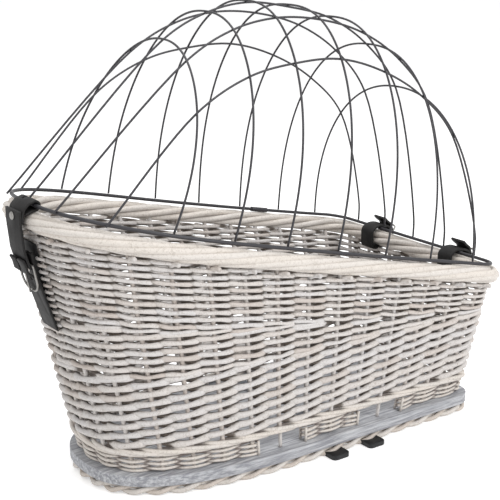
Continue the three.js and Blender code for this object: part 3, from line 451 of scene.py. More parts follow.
def mixed(tree, factor, a, b, blend="MIX"):
    colours = {0: factor, 6: a, 7: b}
    return node_of(tree, "ShaderNodeMix", colours, data_type="RGBA", blend_type=blend).outputs[2]


def noise(tree, vector, size_mm, detail, roughness, warp=0):
    settings = {"Scale": 1 / (size_mm * MM), "Detail": detail, "Roughness": roughness, "Distortion": warp}
    return node_of(tree, "ShaderNodeTexNoise", {"Vector": vector, **settings}).outputs["Fac"]


def bump(tree, shader, height, strength, distance_mm):
    made = node_of(
        tree, "ShaderNodeBump", {"Height": height, "Strength": strength, "Distance": distance_mm * MM}
    )
    feed(tree, shader, {"Normal": made.outputs["Normal"]})


def spread(tree, value, from_min=0, from_max=1, to_min=0, to_max=1, **settings):
    """Maps a value from one range to another."""
    span = {"From Min": from_min, "From Max": from_max, "To Min": to_min, "To Max": to_max}
    return node_of(tree, "ShaderNodeMapRange", {"Value": value, **span}, **settings).outputs[0]


def maths(tree, operation, *values):
    return node_of(tree, "ShaderNodeMath", dict(enumerate(values)), operation=operation).outputs[0]


def attribute(tree, name):
    return node_of(tree, "ShaderNodeAttribute", attribute_name=name).outputs["Fac"]


def object_place(tree):
    return node_of(tree, "ShaderNodeTexCoord").outputs["Object"]


def willow_material(name, pale, bare, whitewash, roughness):
    """Peeled willow under a thin, blotchy white wash, with painted shade: brown-grey where a point lies deep
    in the weave, chalky on the bulges.
    """
    material, tree, shader = new_material(name)
    place = object_place(tree)
    proud = attribute(tree, "proud")
    tone = attribute(tree, "tone")
    blotches = noise(tree, place, size_mm=7, detail=5, roughness=0.7)
    # Painted shade: the lower proud is, the more of the dark bare colour a point takes; the blotches only
    # vary the wash.
    wash_and_depth = maths(tree, "MULTIPLY_ADD", blotches, whitewash, proud)
    wash_and_shade = spread(tree, wash_and_depth, from_min=0.4, from_max=0.76, interpolation_type="SMOOTHSTEP")
    base = mixed(tree, wash_and_shade, bare, pale)
    tint = ramp(tree, tone, [(0.0, colour("#e2dad4")), (0.3, colour("#f3f0ed")), (1.0, colour("#f2f2f3"))])
    toned = mixed(tree, 1.0, base, tint, "MULTIPLY")
    specks = noise(tree, place, size_mm=3.7, detail=5, roughness=0.75, warp=1.6)
    speck = spread(tree, specks, 0.34, 0.5, 0.45, 0)
    shaded = mixed(tree, speck, toned, colour("#8a7c6d"))
    feed(tree, shader, {"Base Color": shaded, "Roughness": roughness})
    pores = noise(tree, place, size_mm=2.3, detail=3, roughness=0.6, warp=1.2)
    bump(tree, shader, pores, strength=0.4, distance_mm=0.4)
    return material


def paint_material(name, paint):
    """Brushed matt paint on solid wood, rubbed lighter here and there."""
    material, tree, shader = new_material(name)
    place = object_place(tree)
    streaks = node_of(tree, "ShaderNodeMapping", {"Vector": place, "Scale": (0.06, 1, 1)}).outputs[0]
    grain = noise(tree, streaks, size_mm=3, detail=6, roughness=0.7)
    clouds = noise(tree, place, size_mm=45, detail=2, roughness=0.5)
    lighter = mixed(tree, clouds, paint, colour("#cfd0d2"))
    worn = spread(tree, grain, from_min=0.42, from_max=0.6)
    brushed = mixed(tree, worn, colour("#8a8b91"), lighter)
    feed(tree, shader, {"Base Color": brushed, "Roughness": 0.62})
    bump(tree, shader, grain, strength=0.25, distance_mm=0.3)
    return material


PEBBLE_MM = 1.3


def leather_material(name, dye):
    """Vegetable-tanned leather dyed black: fine pebble grain, a dull sheen, paler where it is rubbed."""
    material, tree, shader = new_material(name)
    place = object_place(tree)
    grain = {"Vector": place, "Scale": 1 / (PEBBLE_MM * MM)}
    pebbles = node_of(tree, "ShaderNodeTexVoronoi", grain, feature="SMOOTH_F1").outputs["Distance"]
    rub = noise(tree, place, size_mm=14, detail=4, roughness=0.6)
    tint = mixed(tree, rub, dye, colour("#171515"))
    rough = spread(tree, rub, 0.3, 0.7, 0.6, 0.78)
    feed(tree, shader, {"Base Color": tint, "Roughness": rough, "Specular IOR Level": 0.35})
    bump(tree, shader, pebbles, strength=0.3, distance_mm=0.25)
    return material


def metal_material(name, tint, metallic, low, high):
    """Metal or coated metal whose gloss varies a little with handling."""
    material, tree, shader = new_material(name)
    place = object_place(tree)
    marks = noise(tree, place, size_mm=6, detail=4, roughness=0.6)
    darker = tuple(c * 0.8 for c in tint[:3]) + (1.0,)
    coat = mixed(tree, marks, darker, tint)
    rough = spread(tree, marks, to_min=low, to_max=high)
    feed(tree, shader, {"Base Color": coat, "Roughness": rough, "Metallic": metallic})
    fine = noise(tree, place, size_mm=1.1, detail=2, roughness=0.5)
    bump(tree, shader, fine, strength=0.08, distance_mm=0.1)
    return material


def seen_straight(tree):
    """1 for rays of the camera, also off a gloss or through glass, and 0 for those that light a surface."""
    ways = node_of(tree, "ShaderNodeLightPath").outputs
    glossy = maths(tree, "MAXIMUM", ways["Is Camera Ray"], ways["Is Glossy Ray"])
    return maths(tree, "MAXIMUM", glossy, ways["Is Transmission Ray"])


def floor_material():
    """Pale studio floor. For the camera it glows a little, so that it stays white and keeps the shadow."""
    material, tree, shader = new_material("white_studio_floor")
    feed(tree, shader, {"Base Color": colour("#f4f4f4"), "Roughness": 0.9})
    glow = node_of(tree, "ShaderNodeEmission", {"Color": colour("#ffffff"), "Strength": 0.42}).outputs[0]
    nothing = node_of(tree, "ShaderNodeEmission", {"Strength": 0}).outputs[0]
    lit = node_of(tree, "ShaderNodeMixShader", {0: seen_straight(tree), 1: nothing, 2: glow})
    total = node_of(tree, "ShaderNodeAddShader", {0: shader.outputs["BSDF"], 1: lit.outputs[0]})
    out = [n for n in tree.nodes if n.type == "OUTPUT_MATERIAL"][0]
    feed(tree, out, {"Surface": total.outputs[0]})
    return material


FINISHES = {}


def finish(name):
    """The finish of that name, made when it is first asked for."""
    if name in FINISHES:
        return FINISHES[name]
    c = bpy.context.scene.basket_colours
    # Willow has its whitewash and roughness, metal its metallic share and its least and most roughness
    makers = {
        "willow": (willow_material, "whitewashed_willow", c.willow, c.willow_bare_and_shade, 0.5, 0.72),
        "band": (willow_material, "pale_peeled_willow", c.band, c.band_bare_and_shade, 0.6, 0.6),
        "board": (paint_material, "brushed_matt_paint", c.board),
        "wire": (metal_material, "coated_steel_wire", c.wire, 0.25, 0.35, 0.5),
        "leather": (leather_material, "dyed_black_leather", c.leather),
        "nickel": (metal_material, "dull_nickel_plate", colour("#8f8d8a"), 1.0, 0.3, 0.45),
        "steel": (metal_material, "black_coated_steel", colour("#1b1c1e"), 0.2, 0.4, 0.55),
        "zinc": (metal_material, "zinc_plated_steel", colour("#b9bcc0"), 1.0, 0.3, 0.45),
    }
    make, *values = makers[name]
    FINISHES[name] = make(*values)
    return FINISHES[name]


# Weaving. Rods are given by radius; lengths are in millimetres

# Points of a rod from one stake to the next
PER_STAKE = 8
# How far a rod swings out of the wall's middle, and its radius as a share of the rows' pitch
WEAVE_OUT = 4.1
ROD_FILL = 0.52
# A rod runs on past the stakes that it ends behind by this share of their spacing
OVERRUN = 0.45
# How much thinner a fine end is, and over how many stakes it thins
THIN_END, THIN_REACH = 0.15, 2.5
# How much thicker a rod is pressed between two stakes, and how steeply it climbs from one to the next
PRESSED = 0.44
SLANT = 0.55
ROD_WANDER = 0.35
# The foot's rods: radius as a share of the pitch, swing out of the middle and dip over the stakes
FOOT_ROWS, FOOT_FILL, FOOT_OUT, FOOT_DIP = 6, 0.56, 3.3, 0.24
FOOT_ROPE_ROD_R, FOOT_ROPE_TURNS = 3.35, 24
BORDER_ROD_R = 3.9
# The border's rods stay a little longer on its outer face
BORDER_DWELL = 0.25
# A waling rod's share outside the stakes, its reach out and in, and half its climb
WALING_OUTSIDE, WALING_OUT, WALING_IN, WALING_CLIMB = 0.7, 5.2, 3.4, 3.2
WALING_PHASE = 0.17
WALING_ROD_R = 2.5
SLOT_ROD_R = 2.1
# The rods over the backing's edge, with the room that they leave under and over them
BACKING_ROD_R, BACKING_ROD_PITCH, BACKING_LOW_ROOM, BACKING_HIGH_ROOM = 1.7, 7.3, 8, 4
BACKING_LEAN_ROOM = 1.7


def sizes():
    return bpy.context.scene.basket_sizes


def weave_wave(u, row, stakes):
    """1 where the rod of a row lies outside a stake and -1 where it lies inside the next one."""
    return np.cos(math.pi * (stakes * u + row))


def wander(u, seed, size):
    """A slow wander of a rod from its line: three waves of 0.42 of the size, in millimetres."""
    chance = random.Random(seed)
    total = 0
    for waves in (5, 11, 19):
        total = total + 0.42 * size * np.sin(2 * math.pi * (waves * u + chance.random()))
    return total


def row_rods(rods, row, height, start, last, radius, seed, stakes, fine_ends=False):
    """One row of the weave, made of several rods that each end behind a stake."""
    chance = random.Random(seed)
    start -= (start + row + 1) % 2
    last += (last + row + 1) % 2
    here = start
    while here < last:
        there = min(last, here + 2 * chance.randint(3, 7))
        if last - there < 4:
            there = last
        count = int((there - here + 2 * OVERRUN) * PER_STAKE)
        u = np.linspace((here - OVERRUN) / stakes, (there + OVERRUN) / stakes, count)
        wave = weave_wave(u, row, stakes)
        rise = SLANT * radius * np.sin(math.pi * (stakes * u + row))
        z = height(u) + wander(u, seed + here, ROD_WANDER) + rise
        taper = np.linspace(chance.uniform(0.98, 1.08), chance.uniform(0.88, 0.99), len(u))
        if fine_ends:
            room = np.minimum(u * stakes - start, last - u * stakes)
            taper = taper * (1 - THIN_END * (1 - np.clip(room / THIN_REACH, 0, 1)))
        taper = taper * (1 + PRESSED * (1 - wave * wave))
        depth = WALL_THICK / 2 - WEAVE_OUT * np.sign(wave) * np.abs(wave) ** 0.8
        points = wall_at(u, z, depth)
        outward = wall_at(u, z, depth - 1) - points
        rods.add(points, radius * taper, chance.random(), WALL_THICK / 2 - depth, outward=outward)
        here = there


# The zones of the wall: level rows up to a height, two wedges, and rows that follow the rim
LEVEL_TOP, LEVEL_ROWS = 142.0, 15
MIDDLE_PITCH, UPPER_PITCH = 4.7, 4.1
RIM_ROWS, RIM_ROWS_TALL = 8, 30.0


def level_height(row, u):
    return WALL_LOW + (row + 0.5) * (LEVEL_TOP - WALL_LOW) / LEVEL_ROWS + 0 * u


def rim_height(row, u):
    return wall_top(u) - (row + 0.5) * RIM_ROWS_TALL / RIM_ROWS


def level_top(u):
    return LEVEL_TOP + 0 * u


def middle_top(u):
    return (LEVEL_TOP + upper_top(u)) / 2


def upper_top(u):
    return wall_top(u) - RIM_ROWS_TALL


def wedge_rows(name, top, floor, pitch, seed, stakes):
    """Rows that start level with a slanting line, spread evenly down to a lower line and end on it."""
    rods = Rods(name)
    u = np.linspace(0, 0.5, 4001)
    room = (top(u) - floor(u)) / pitch

    def height(row, w):
        tall = top(w) - floor(w)
        part = tall / pitch - np.floor(tall / pitch)
        # The last row squeezes in smoothly where there is room for 0.15 to 0.85 of it
        ease = np.clip((part - 0.15) / 0.7, 0, 1)
        rows = np.floor(tall / pitch) + ease * ease * (3 - 2 * ease)
        return top(w) - (row + 0.5) * tall / np.maximum(rows, row + 0.5)

    row = 0
    while (room > row + 0.5).any():
        end = math.ceil(float(u[room > row + 0.5][-1]) * stakes)
        if end > 1:
            own_height = partial(height, row)
            radius = ROD_FILL * pitch
            row_rods(rods, row, own_height, -end, end, radius, seed + 100 * row, stakes, fine_ends=True)
        row += 1
    return rods


def full_rows(name, rows, pitch, height, start_step, seed, stakes):
    """Rows that go all the way round. Each starts some stakes on from the last, so that the joins scatter."""
    rods = Rods(name)
    for row in range(rows):
        start = start_step * row + 1
        radius = ROD_FILL * pitch
        row_rods(rods, row, partial(height, row), start, start + stakes, radius, seed + 100 * row, stakes)
    return rods


def weave_wall():
    stakes = sizes().stakes
    level_pitch = (LEVEL_TOP - WALL_LOW) / LEVEL_ROWS
    rim_pitch = RIM_ROWS_TALL / RIM_ROWS
    return [
        full_rows("wall_rods_low", LEVEL_ROWS, level_pitch, level_height, 11, 1000, stakes),
        wedge_rows("wall_rods_middle", middle_top, level_top, MIDDLE_PITCH, 5000, stakes),
        wedge_rows("wall_rods_upper", upper_top, middle_top, UPPER_PITCH, 9000, stakes),
        full_rows("wall_rods_rim", RIM_ROWS, rim_pitch, rim_height, 7, 13000, stakes),
    ]


def backing_rods():
    """Short ends of weavers that come through beside the strap and hold the backing's near edge."""
    rods = Rods("backing_rods")
    edge = [Vector(corner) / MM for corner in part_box("closure_backing")]
    chance = random.Random(23)
    tall = edge[1].z - edge[0].z
    for k in range(int((tall - BACKING_LOW_ROOM - BACKING_HIGH_ROOM) / BACKING_ROD_PITCH)):
        z = edge[0].z + BACKING_LOW_ROOM + k * BACKING_ROD_PITCH
        part = (z - edge[0].z) / tall
        out = edge[1].x - SHIFT_X - part * (edge[1].x - edge[0].x - BACKING_LEAN_ROOM) - BACKING_LEAN_ROOM
        y = edge[0].y + chance.uniform(-0.3, 0.3)
        # Out of the wall, over the backing's edge and back in
        steps_of_rod = ((5, -4, -1), (0.5, -1.2, 0), (-1.2, 1.4, 0.6), (2, 4, 1))
        bend = [(out + dx, y + dy, z + dz) for dx, dy, dz in steps_of_rod]
        rods.add(smooth_path(bend, 4), BACKING_ROD_R, chance.random(), proud=1)
    return rods


def upright_rods():
    """The stakes of the wall, each with its cut end that shows under the border."""
    stakes = sizes().stakes
    rods = Rods("wall_stakes")
    chance = random.Random(7)
    for i in range(stakes):
        u = i / stakes
        z = np.linspace(FOOT_HIGH + 0.5, float(wall_top(u)) + 5, 24)
        lean = wander(np.linspace(0, 0.4, 24), i, 0.5) / BOARD_PLAN.around
        points = wall_at(u + lean, z, WALL_THICK / 2)
        radius = sizes().stake_d / 2 / MM
        rods.add(points, radius, chance.random(), proud=0.6)
        top = float(wall_top(u))
        # Along the wall, up to its top and the depth in the wall at each point of the cut end
        steps_out = ((0, -6, 5), (2, -3, 1), (4, -2, -3), (5, -2, -7.5))
        bend = [wall_at(u + along / BOARD_PLAN.around, top + up, depth) for along, up, depth in steps_out]
        rods.add(smooth_path(bend, 3), radius, chance.random(), proud=0.8)
    return rods


def waling_rods():
    """Three rods that twist round the stakes: each lies outside two of them and inside the third."""
    stakes = sizes().stakes
    rods = Rods("waling_rods", 2)
    u = np.linspace(0, 1, stakes * PER_STAKE * 2 + 1)
    middle = (WALING_LOW + WALING_HIGH) / 2
    for k in range(3):
        part = (stakes * u + k) / 3 + WALING_PHASE
        part = part - np.floor(part)
        outside = part < WALING_OUTSIDE
        outer = np.clip(part / WALING_OUTSIDE, 0, 1)
        inner = np.clip((part - WALING_OUTSIDE) / (1 - WALING_OUTSIDE), 0, 1)
        out = WALING_OUT * np.sin(math.pi * outer) ** 0.5
        out = np.where(outside, out, -WALING_IN * np.sin(math.pi * inner) ** 0.5)
        z = middle + WALING_CLIMB * np.where(outside, 1 - 2 * outer, 2 * inner - 1)
        points = wall_at(u, z, WALL_THICK / 2 - out)
        # Painted shade: the rod is darker where it passes inside the stakes and lighter where it swings out.
        proud = np.clip(0.5 + out[:-1] / 8, 0, 1)
        rods.add(points[:-1], WALING_ROD_R, 0.3 + 0.2 * k, proud, closed=True)
    return rods


def foot_stretches():
    """Where each stretch of the woven foot starts and ends, between the slots."""
    middle = (FOOT_LOW + FOOT_HIGH) / 2
    a, b = (wall_u(x, middle) for x in SLOT_1_X)
    c, d = (wall_u(x, middle) for x in SLOT_2_X)
    return {"high_end": (-a, a), "near": (b, c), "low_end": (d, 1 - d), "far": (1 - c, 1 - b)}


def foot_rods(label, from_u, to_u):
    """Short rows over the board: one rod that turns back at each slot and dips over the stakes."""
    stakes = sizes().stakes
    rods = Rods("foot_rods_" + label)
    pitch = (FOOT_HIGH - FOOT_LOW) / FOOT_ROWS
    radius = FOOT_FILL * pitch
    edge = (radius + 0.2) / BOARD_PLAN.around
    count = max(12, int((to_u - from_u) * stakes * PER_STAKE))
    run = np.linspace(from_u + 2 * edge, to_u - 2 * edge, count)
    places = []
    for row in range(FOOT_ROWS):
        u = run if row % 2 == 0 else run[::-1]
        wave = weave_wave(u, row, stakes)
        z = np.clip(FOOT_LOW + (row + 0.5 - FOOT_DIP * wave) * pitch, FOOT_LOW + radius, FOOT_HIGH - radius)
        places.append((u, z, WALL_THICK / 2 - FOOT_OUT * wave))
        if row < FOOT_ROWS - 1:
            turn = np.linspace(0, math.pi, 7)[1:-1]
            side = 1 if row % 2 == 0 else -1
            beyond = u[-1] + side * 1.6 * edge * np.sin(turn)
            up = z[-1] + pitch * (1 - np.cos(turn)) / 2
            places.append((beyond, up, WALL_THICK / 2 - FOOT_OUT * wave[-1] * np.cos(turn)))
    u, z, depth = np.concatenate(places, axis=1)
    points = wall_at(u, z, depth)
    rods.add(points, radius, 0.5, WALL_THICK / 2 - depth, outward=wall_at(u, z, depth - 1) - points)
    z = np.linspace(FOOT_LOW, FOOT_HIGH, 4)
    for end in (from_u + 1.6 * edge, to_u - 1.6 * edge):
        # Painted shade: the inner end rods are darker than the outer ones, and the stakes behind the rows
        # darker still.
        rods.add(wall_at(end, z, 0.4), 0.9 * radius, tone=0.6, proud=0.8)
        rods.add(wall_at(end, z, WALL_THICK - 0.4), 0.9 * radius, tone=0.6, proud=0.5)
    stake_r = sizes().stake_d / 2 / MM
    for i in range(-stakes, 2 * stakes):
        if from_u + 4 * edge < i / stakes < to_u - 4 * edge:
            rods.add(wall_at(i / stakes, z, WALL_THICK / 2), stake_r, tone=0.4, proud=0.3)
    return rods


def slot_stake_rods():
    """The bare stakes that cross the slots, each with the node that it stands for."""
    rods = []
    middle = (FOOT_LOW + FOOT_HIGH) / 2
    for number, x in enumerate(SLOT_STAKE_X, 1):
        u = wall_u(x, middle)
        for side, place in (("near", u), ("far", 1 - u)):
            one = Rods(f"slot_rod_{side}_{number}", 2)
            z = np.linspace(FOOT_LOW + 0.2, FOOT_HIGH + 0.5, 5)
            one.add(wall_at(place, z, WALL_THICK / 2), SLOT_ROD_R, tone=0.6, proud=0.6)
            rods.append((one, f"slot_stake_{side}_{number}"))
    return rods


def wound_rods(name, place, wide, tall, count, turns, radius, seed, dwell=0.0):
    """Rods wound round an oval core that follows a plan outline. place gives x, y, z and the outward way.

    dwell makes each rod stay longer on the outer face and cross the inner one more steeply.
    """
    rods = Rods(name, 2)
    chance = random.Random(seed)
    u = np.linspace(0, 1, 720, endpoint=False)
    x, y, z, out_x, out_y = place(u)
    if dwell:
        # Painted shade: the core gets a low proud, so it shows dark in the gaps between the rods.
        rods.add(np.stack([x, y, z], -1), min(wide, tall) / 2 - radius, proud=0.2, closed=True)
    for k in range(count):
        turn = 2 * math.pi * (k / count + turns * u)
        turn = turn - dwell * np.sin(turn)
        thick = radius * chance.uniform(0.82, 1.06)
        settle = wander(u, seed + k, ROD_WANDER)
        across = (wide / 2 - thick + settle) * np.cos(turn)
        up = (tall / 2 - thick + settle) * np.sin(turn)
        points = np.stack([x + out_x * across, y + out_y * across, z + up], -1)
        # Painted shade: each rod is lighter on the core's outer face and darker on its inner face.
        rods.add(points, thick, chance.random(), 0.75 + 0.15 * np.cos(turn), closed=True)
    return rods


def outline_frame(plan, inset, height):
    """A core for wound rods along a plan: place(u) gives x, y, z and the outward way."""

    def place(u):
        x, y = plan.at(u, inset)
        x2, y2 = plan.at(u, inset - 1)
        size = np.hypot(x2 - x, y2 - y)
        return x, y, height(x), (x2 - x) / size, (y2 - y) / size

    return place


# Grille

# A wire's foot stands this far over the ring, and crossing wires are welded this deep into each other
FOOT_GAP, WELD_DEPTH = 0.4, 0.15
# Straight starts of the runners: the middle one over the ring, the others down and up beside it, the low ends
STAND_UP, BESIDE_DOWN, BESIDE_UP, LOW_UP = 21, 3.5, 10.5, 25


def unit(vector):
    return vector / np.linalg.norm(vector)


def ring_points(u):
    x, y = RIM_PLAN.at(u)
    return np.stack([x, y, ring_z(x)], -1)


class Hoop:
    """A crosswise wire that stands on both sides of the ring and leans towards the low end."""

    def __init__(self, number):
        lean, rise, self.roundness, self.bow = HOOPS[number]
        self.foot_x = HOOP_FIRST_X + HOOP_SPACING * number
        self.top_x = self.foot_x + lean
        self.half_width = -float(RIM_PLAN.at(RIM_PLAN.u_at_x(self.foot_x))[1])
        self.foot_z = float(ring_z(self.foot_x)) + RING_R + FOOT_GAP
        self.top_z = RING_HIGH_Z + rise

    def at_turn(self, turn):
        c = np.cos(turn)
        rise = np.maximum(0, np.sin(turn)) ** (2 / self.roundness)
        swell = 1 + 4 * self.bow * rise * (1 - rise)
        y = -np.sign(c) * np.abs(c) ** (2 / self.roundness) * self.half_width * swell
        x = self.foot_x + (self.top_x - self.foot_x) * rise
        return np.stack([x, y, self.foot_z + (self.top_z - self.foot_z) * rise], -1)

    def at_y(self, y):
        turn = np.linspace(0.1, 0.9, 4001) * math.pi
        points = self.at_turn(turn)
        return np.array([np.interp(y, points[:, 1], points[:, k]) for k in range(3)])


def runner_points(hoops, at_hoops, high_end, low_end):
    """A lengthwise wire: from the ring's high end under every hoop to its low end."""
    crossings = [h.at_y(at_hoops) for h in hoops]
    under = []
    for i, p in enumerate(crossings):
        along = crossings[min(i + 1, len(hoops) - 1)] - crossings[max(i - 1, 0)]
        across = hoops[i].at_y(at_hoops + 1) - hoops[i].at_y(at_hoops - 1)
        inward = unit(np.cross(across, along))
        if inward[2] > 0:
            inward = -inward
        under.append(p + inward * (2 * WIRE_R - WELD_DEPTH))
    low_foot = np.array([RIM["low_x"], low_end, RING_LOW_Z + RING_R + FOOT_GAP])
    u = RIM_PLAN.high_u_at_y(high_end)
    seat = ring_points(u)
    along = unit(ring_points(u + 0.002) - ring_points(u - 0.002))
    rise = unit(under[0] - seat)
    out = unit(np.cross(along, rise))
    if out[0] > 0:
        out = -out
    # The middle runner stands on the ring, and the others pass it on its outside
    if high_end == 0:
        stand = seat + rise * (RING_R + 0.9)
        start = [stand, stand + rise * STAND_UP]
    else:
        beside = seat + out * (RING_R + WIRE_R + 0.1)
        start = [beside - rise * BESIDE_DOWN, beside + rise * BESIDE_UP]
    return smooth_path([*start, *under, low_foot + (0, 0, LOW_UP), low_foot])


# Leather and buckles


def turned(points, bar, tilt, y):
    """Places points of a buckle's own x and y plane at its bar, tilted about y."""
    c, s = math.cos(tilt), math.sin(tilt)
    points = np.asarray(points, float)
    x = bar[0] + points[:, 0] * c + points[:, 2] * s
    z = bar[1] - points[:, 0] * s + points[:, 2] * c
    return np.stack([x, y + points[:, 1], z], -1)


def frame_points(long, strap_wide, far_corner):
    """The buckle frame's wire in its own plane: tight corners at the bar, rounder ones at the far end."""
    wide = strap_wide + 2 * BUCKLE_SIDE_ROOM + 2 * BUCKLE_WIRE_R
    near, far = BUCKLE_NEAR_CORNER, far_corner
    points = []
    for x, y, r, start in (
        (near, wide / 2 - near, near, 180),
        (long - far, wide / 2 - far, far, 90),
        (long - far, far - wide / 2, far, 0),
        (near, near - wide / 2, near, -90),
    ):
        for i in range(9):
            turn = math.radians(start - 90 * i / 8)
            points.append((x + r * math.cos(turn), y + r * math.sin(turn), 0))
    return points


def prong_points(long):
    """A straight prong that rests on the frame and curls round its bar."""
    eye = PRONG_EYE_R
    points = [(long + 2, 0, -eye - 0.3), (long / 2, 0, -eye - 0.3)]
    for i in range(11):
        turn = math.radians(-90 - 26 * i)
        points.append((eye * math.cos(turn), 0, eye * math.sin(turn)))
    return smooth_path(points, 4)


def add_buckle(label, suffix, y, bodies, bar, tilt_degrees, long, strap_wide, far_corner):
    tilt = math.radians(tilt_degrees)
    bow = Rods(label + "_buckle_frame" + suffix, 3)
    frame_wire = turned(frame_points(long, strap_wide, far_corner), bar, tilt, y)
    bow.add(frame_wire, BUCKLE_WIRE_R, closed=True)
    bow.piece(bodies[0], "nickel", "nickel", label + "_buckle" + suffix)
    pin = Rods(label + "_buckle_pin" + suffix, 3)
    pin.add(turned(prong_points(long), bar, tilt, y), PRONG_R)
    pin.piece(bodies[1], "nickel", "nickel", label + "_prong" + suffix)


# Board


def board_mesh():
    """The board: its outline and screw holes filled, raised and rounded at every edge."""
    work = bmesh.new()
    edges = []

    def loop(points):
        verts = [work.verts.new(p) for p in points]
        edges.extend(work.edges.new((a, b)) for a, b in zip(verts, verts[1:] + verts[:1]))

    u = np.linspace(0, 1, 360, endpoint=False)
    x, y = BOARD_PLAN.at(u)
    loop(to_metres(np.stack([x, y, np.full(len(u), BOARD_BOTTOM)], -1)))
    for hole_x, hole_y in SCREW_PLACES:
        turn = np.linspace(0, 2 * math.pi, 24, endpoint=False)
        ring_x, ring_y = hole_x + SCREW_HOLE_R * np.cos(turn), hole_y + SCREW_HOLE_R * np.sin(turn)
        loop(to_metres(np.stack([ring_x, ring_y, np.full(len(turn), BOARD_BOTTOM)], -1)))
    bmesh.ops.triangle_fill(work, use_beauty=True, use_dissolve=True, edges=edges)
    raised = bmesh.ops.extrude_face_region(work, geom=list(work.faces))["geom"]
    tops = [v for v in raised if isinstance(v, bmesh.types.BMVert)]
    bmesh.ops.translate(work, verts=tops, vec=(0, 0, (BOARD_TOP - BOARD_BOTTOM) * MM))
    bmesh.ops.recalc_face_normals(work, faces=work.faces)
    rims = [e for e in work.edges if len(e.link_faces) == 2 and e.calc_face_angle() > 1]
    made = bpy.data.meshes.new("painted_board")
    round_off(work, rims, BOARD_EDGE_ROUND, 3, made)
    return made


# Stage

# The photograph's camera: place and lens in millimetres, angles in degrees
CAMERA_PLACE = (-732.32, -1032.0, 583.7)
CAMERA_AZIMUTH, CAMERA_ELEVATION = -35.498, 15.787
CAMERA_LENS, CAMERA_SENSOR = 82.15, 36
# Each lamp's name, place and size in metres, and power in watts
LAMPS = (
    ("key", (0.7, -2.2, 1.8), (1.3, 1.3), 36),
    ("fill", (-1.9, -1.2, 1.3), (1.6, 1.6), 9),
    ("top", (0.1, 0.4, 2.2), (1.8, 1.4), 20),
)
LAMP_AIM = (0, 0, 0.2)


def aim(obj, direction):
    obj.rotation_mode = "QUATERNION"
    obj.rotation_quaternion = direction.to_track_quat("-Z", "Y")


def add_camera():
    camera = new_object("camera", bpy.data.cameras.new("camera"))
    azimuth, elevation = math.radians(CAMERA_AZIMUTH), math.radians(CAMERA_ELEVATION)
    level = math.cos(elevation)
    back = Vector((math.sin(azimuth) * level, -math.cos(azimuth) * level, math.sin(elevation)))
    aim(camera, -back)
    camera.location = Vector(CAMERA_PLACE) * MM
    camera.data.lens = CAMERA_LENS
    camera.data.sensor_width = CAMERA_SENSOR
    camera.data.clip_start, camera.data.clip_end = 0.05, 200
    bpy.context.scene.camera = camera


def add_lamp(name, place, size, power):
    light = bpy.data.lights.new(name, "AREA")
    light.shape = "RECTANGLE"
    light.size, light.size_y = size
    light.energy = power
    lamp = new_object(name, light)
    lamp.location = place
    aim(lamp, Vector(LAMP_AIM) - Vector(place))


def add_floor():
    work = bmesh.new()
    bmesh.ops.create_grid(work, x_segments=1, y_segments=1, size=sizes().floor_size / 2)
    mesh = bpy.data.meshes.new("floor")
    work.to_mesh(mesh)
    work.free()
    mesh.materials.append(floor_material())
    floor = new_object("floor", mesh)


def add_world():
    world = bpy.data.worlds.new("soft_studio")
    bpy.context.scene.world = world
    world.use_nodes = True
    tree = world.node_tree
    tree.nodes.clear()
    soft = node_of(tree, "ShaderNodeBackground", {"Color": (1, 1, 1, 1), "Strength": 0.62}).outputs[0]
    white = node_of(tree, "ShaderNodeBackground", {"Color": (1, 1, 1, 1), "Strength": 1.0}).outputs[0]
    both = node_of(tree, "ShaderNodeMixShader", {0: seen_straight(tree), 1: soft, 2: white})
    node_of(tree, "ShaderNodeOutputWorld", {"Surface": both.outputs[0]})


# Operators: one for each piece or group of like pieces, and one for the stage


class BASKET_OT_stage(bpy.types.Operator):
    """Set up the camera, the lamps, the floor and the backdrop"""

    bl_idname = "basket.stage"
    bl_label = "Stage"

    def execute(self, context):
        add_camera()
        add_world()
        add_floor()
        for lamp in LAMPS:
            add_lamp(*lamp)
        context.scene.view_settings.view_transform = "Standard"
        return {"FINISHED"}


class BASKET_OT_board(bpy.types.Operator):
    """Make the painted board with its four screw holes"""

    bl_idname = "basket.board"
    bl_label = "Board"

    def execute(self, context):
        obj = new_object("painted_board", board_mesh())
        finish_piece(obj, "basket", "board", "board", "base_board")
        return {"FINISHED"}


class BASKET_OT_foot(bpy.types.Operator):
    """Make the roped border under the board and the woven foot above it"""

    bl_idname = "basket.foot"
    bl_label = "Foot"

    def execute(self, context):
        place = outline_frame(BOARD_PLAN, FOOT_ROPE_INSET, rope_height)
        wound = (2, FOOT_ROPE_TURNS, FOOT_ROPE_ROD_R)
        rope = wound_rods("foot_rope", place, FOOT_ROPE_D + 0.6, FOOT_ROPE_D, *wound, 31)
        rope.piece("basket", "willow", "band", "foot_border")
        for label, (from_u, to_u) in foot_stretches().items():
            foot_rods(label, from_u, to_u).piece("basket", "willow", "band", "foot_weave_" + label)
        for one, node in slot_stake_rods():
            one.piece("basket", "willow", "willow", node)
        return {"FINISHED"}


class BASKET_OT_wall(bpy.types.Operator):
    """Weave the wall: stakes, waling band and rows of rods"""

    bl_idname = "basket.wall"
    bl_label = "Wall"

    def execute(self, context):
        waling_rods().piece("basket", "band", "band", "waling_band")
        upright_rods().piece("basket", "willow", "willow", "wicker_wall")
        for rods in (*weave_wall(), backing_rods()):
            rods.piece("basket", "willow", "willow", "wicker_wall")
        return {"FINISHED"}


class BASKET_OT_border(bpy.types.Operator):
    """Wind the border of the rim"""

    bl_idname = "basket.border"
    bl_label = "Rim border"

    def execute(self, context):
        place = outline_frame(RIM_PLAN, 0, border_z)
        wound = (sizes().border_rods, sizes().border_turns, BORDER_ROD_R)
        rods = wound_rods("border_rods", place, BORDER_WIDE, BORDER_TALL, *wound, 61, BORDER_DWELL)
        rods.piece("basket", "band", "band", "rim_border")
        return {"FINISHED"}


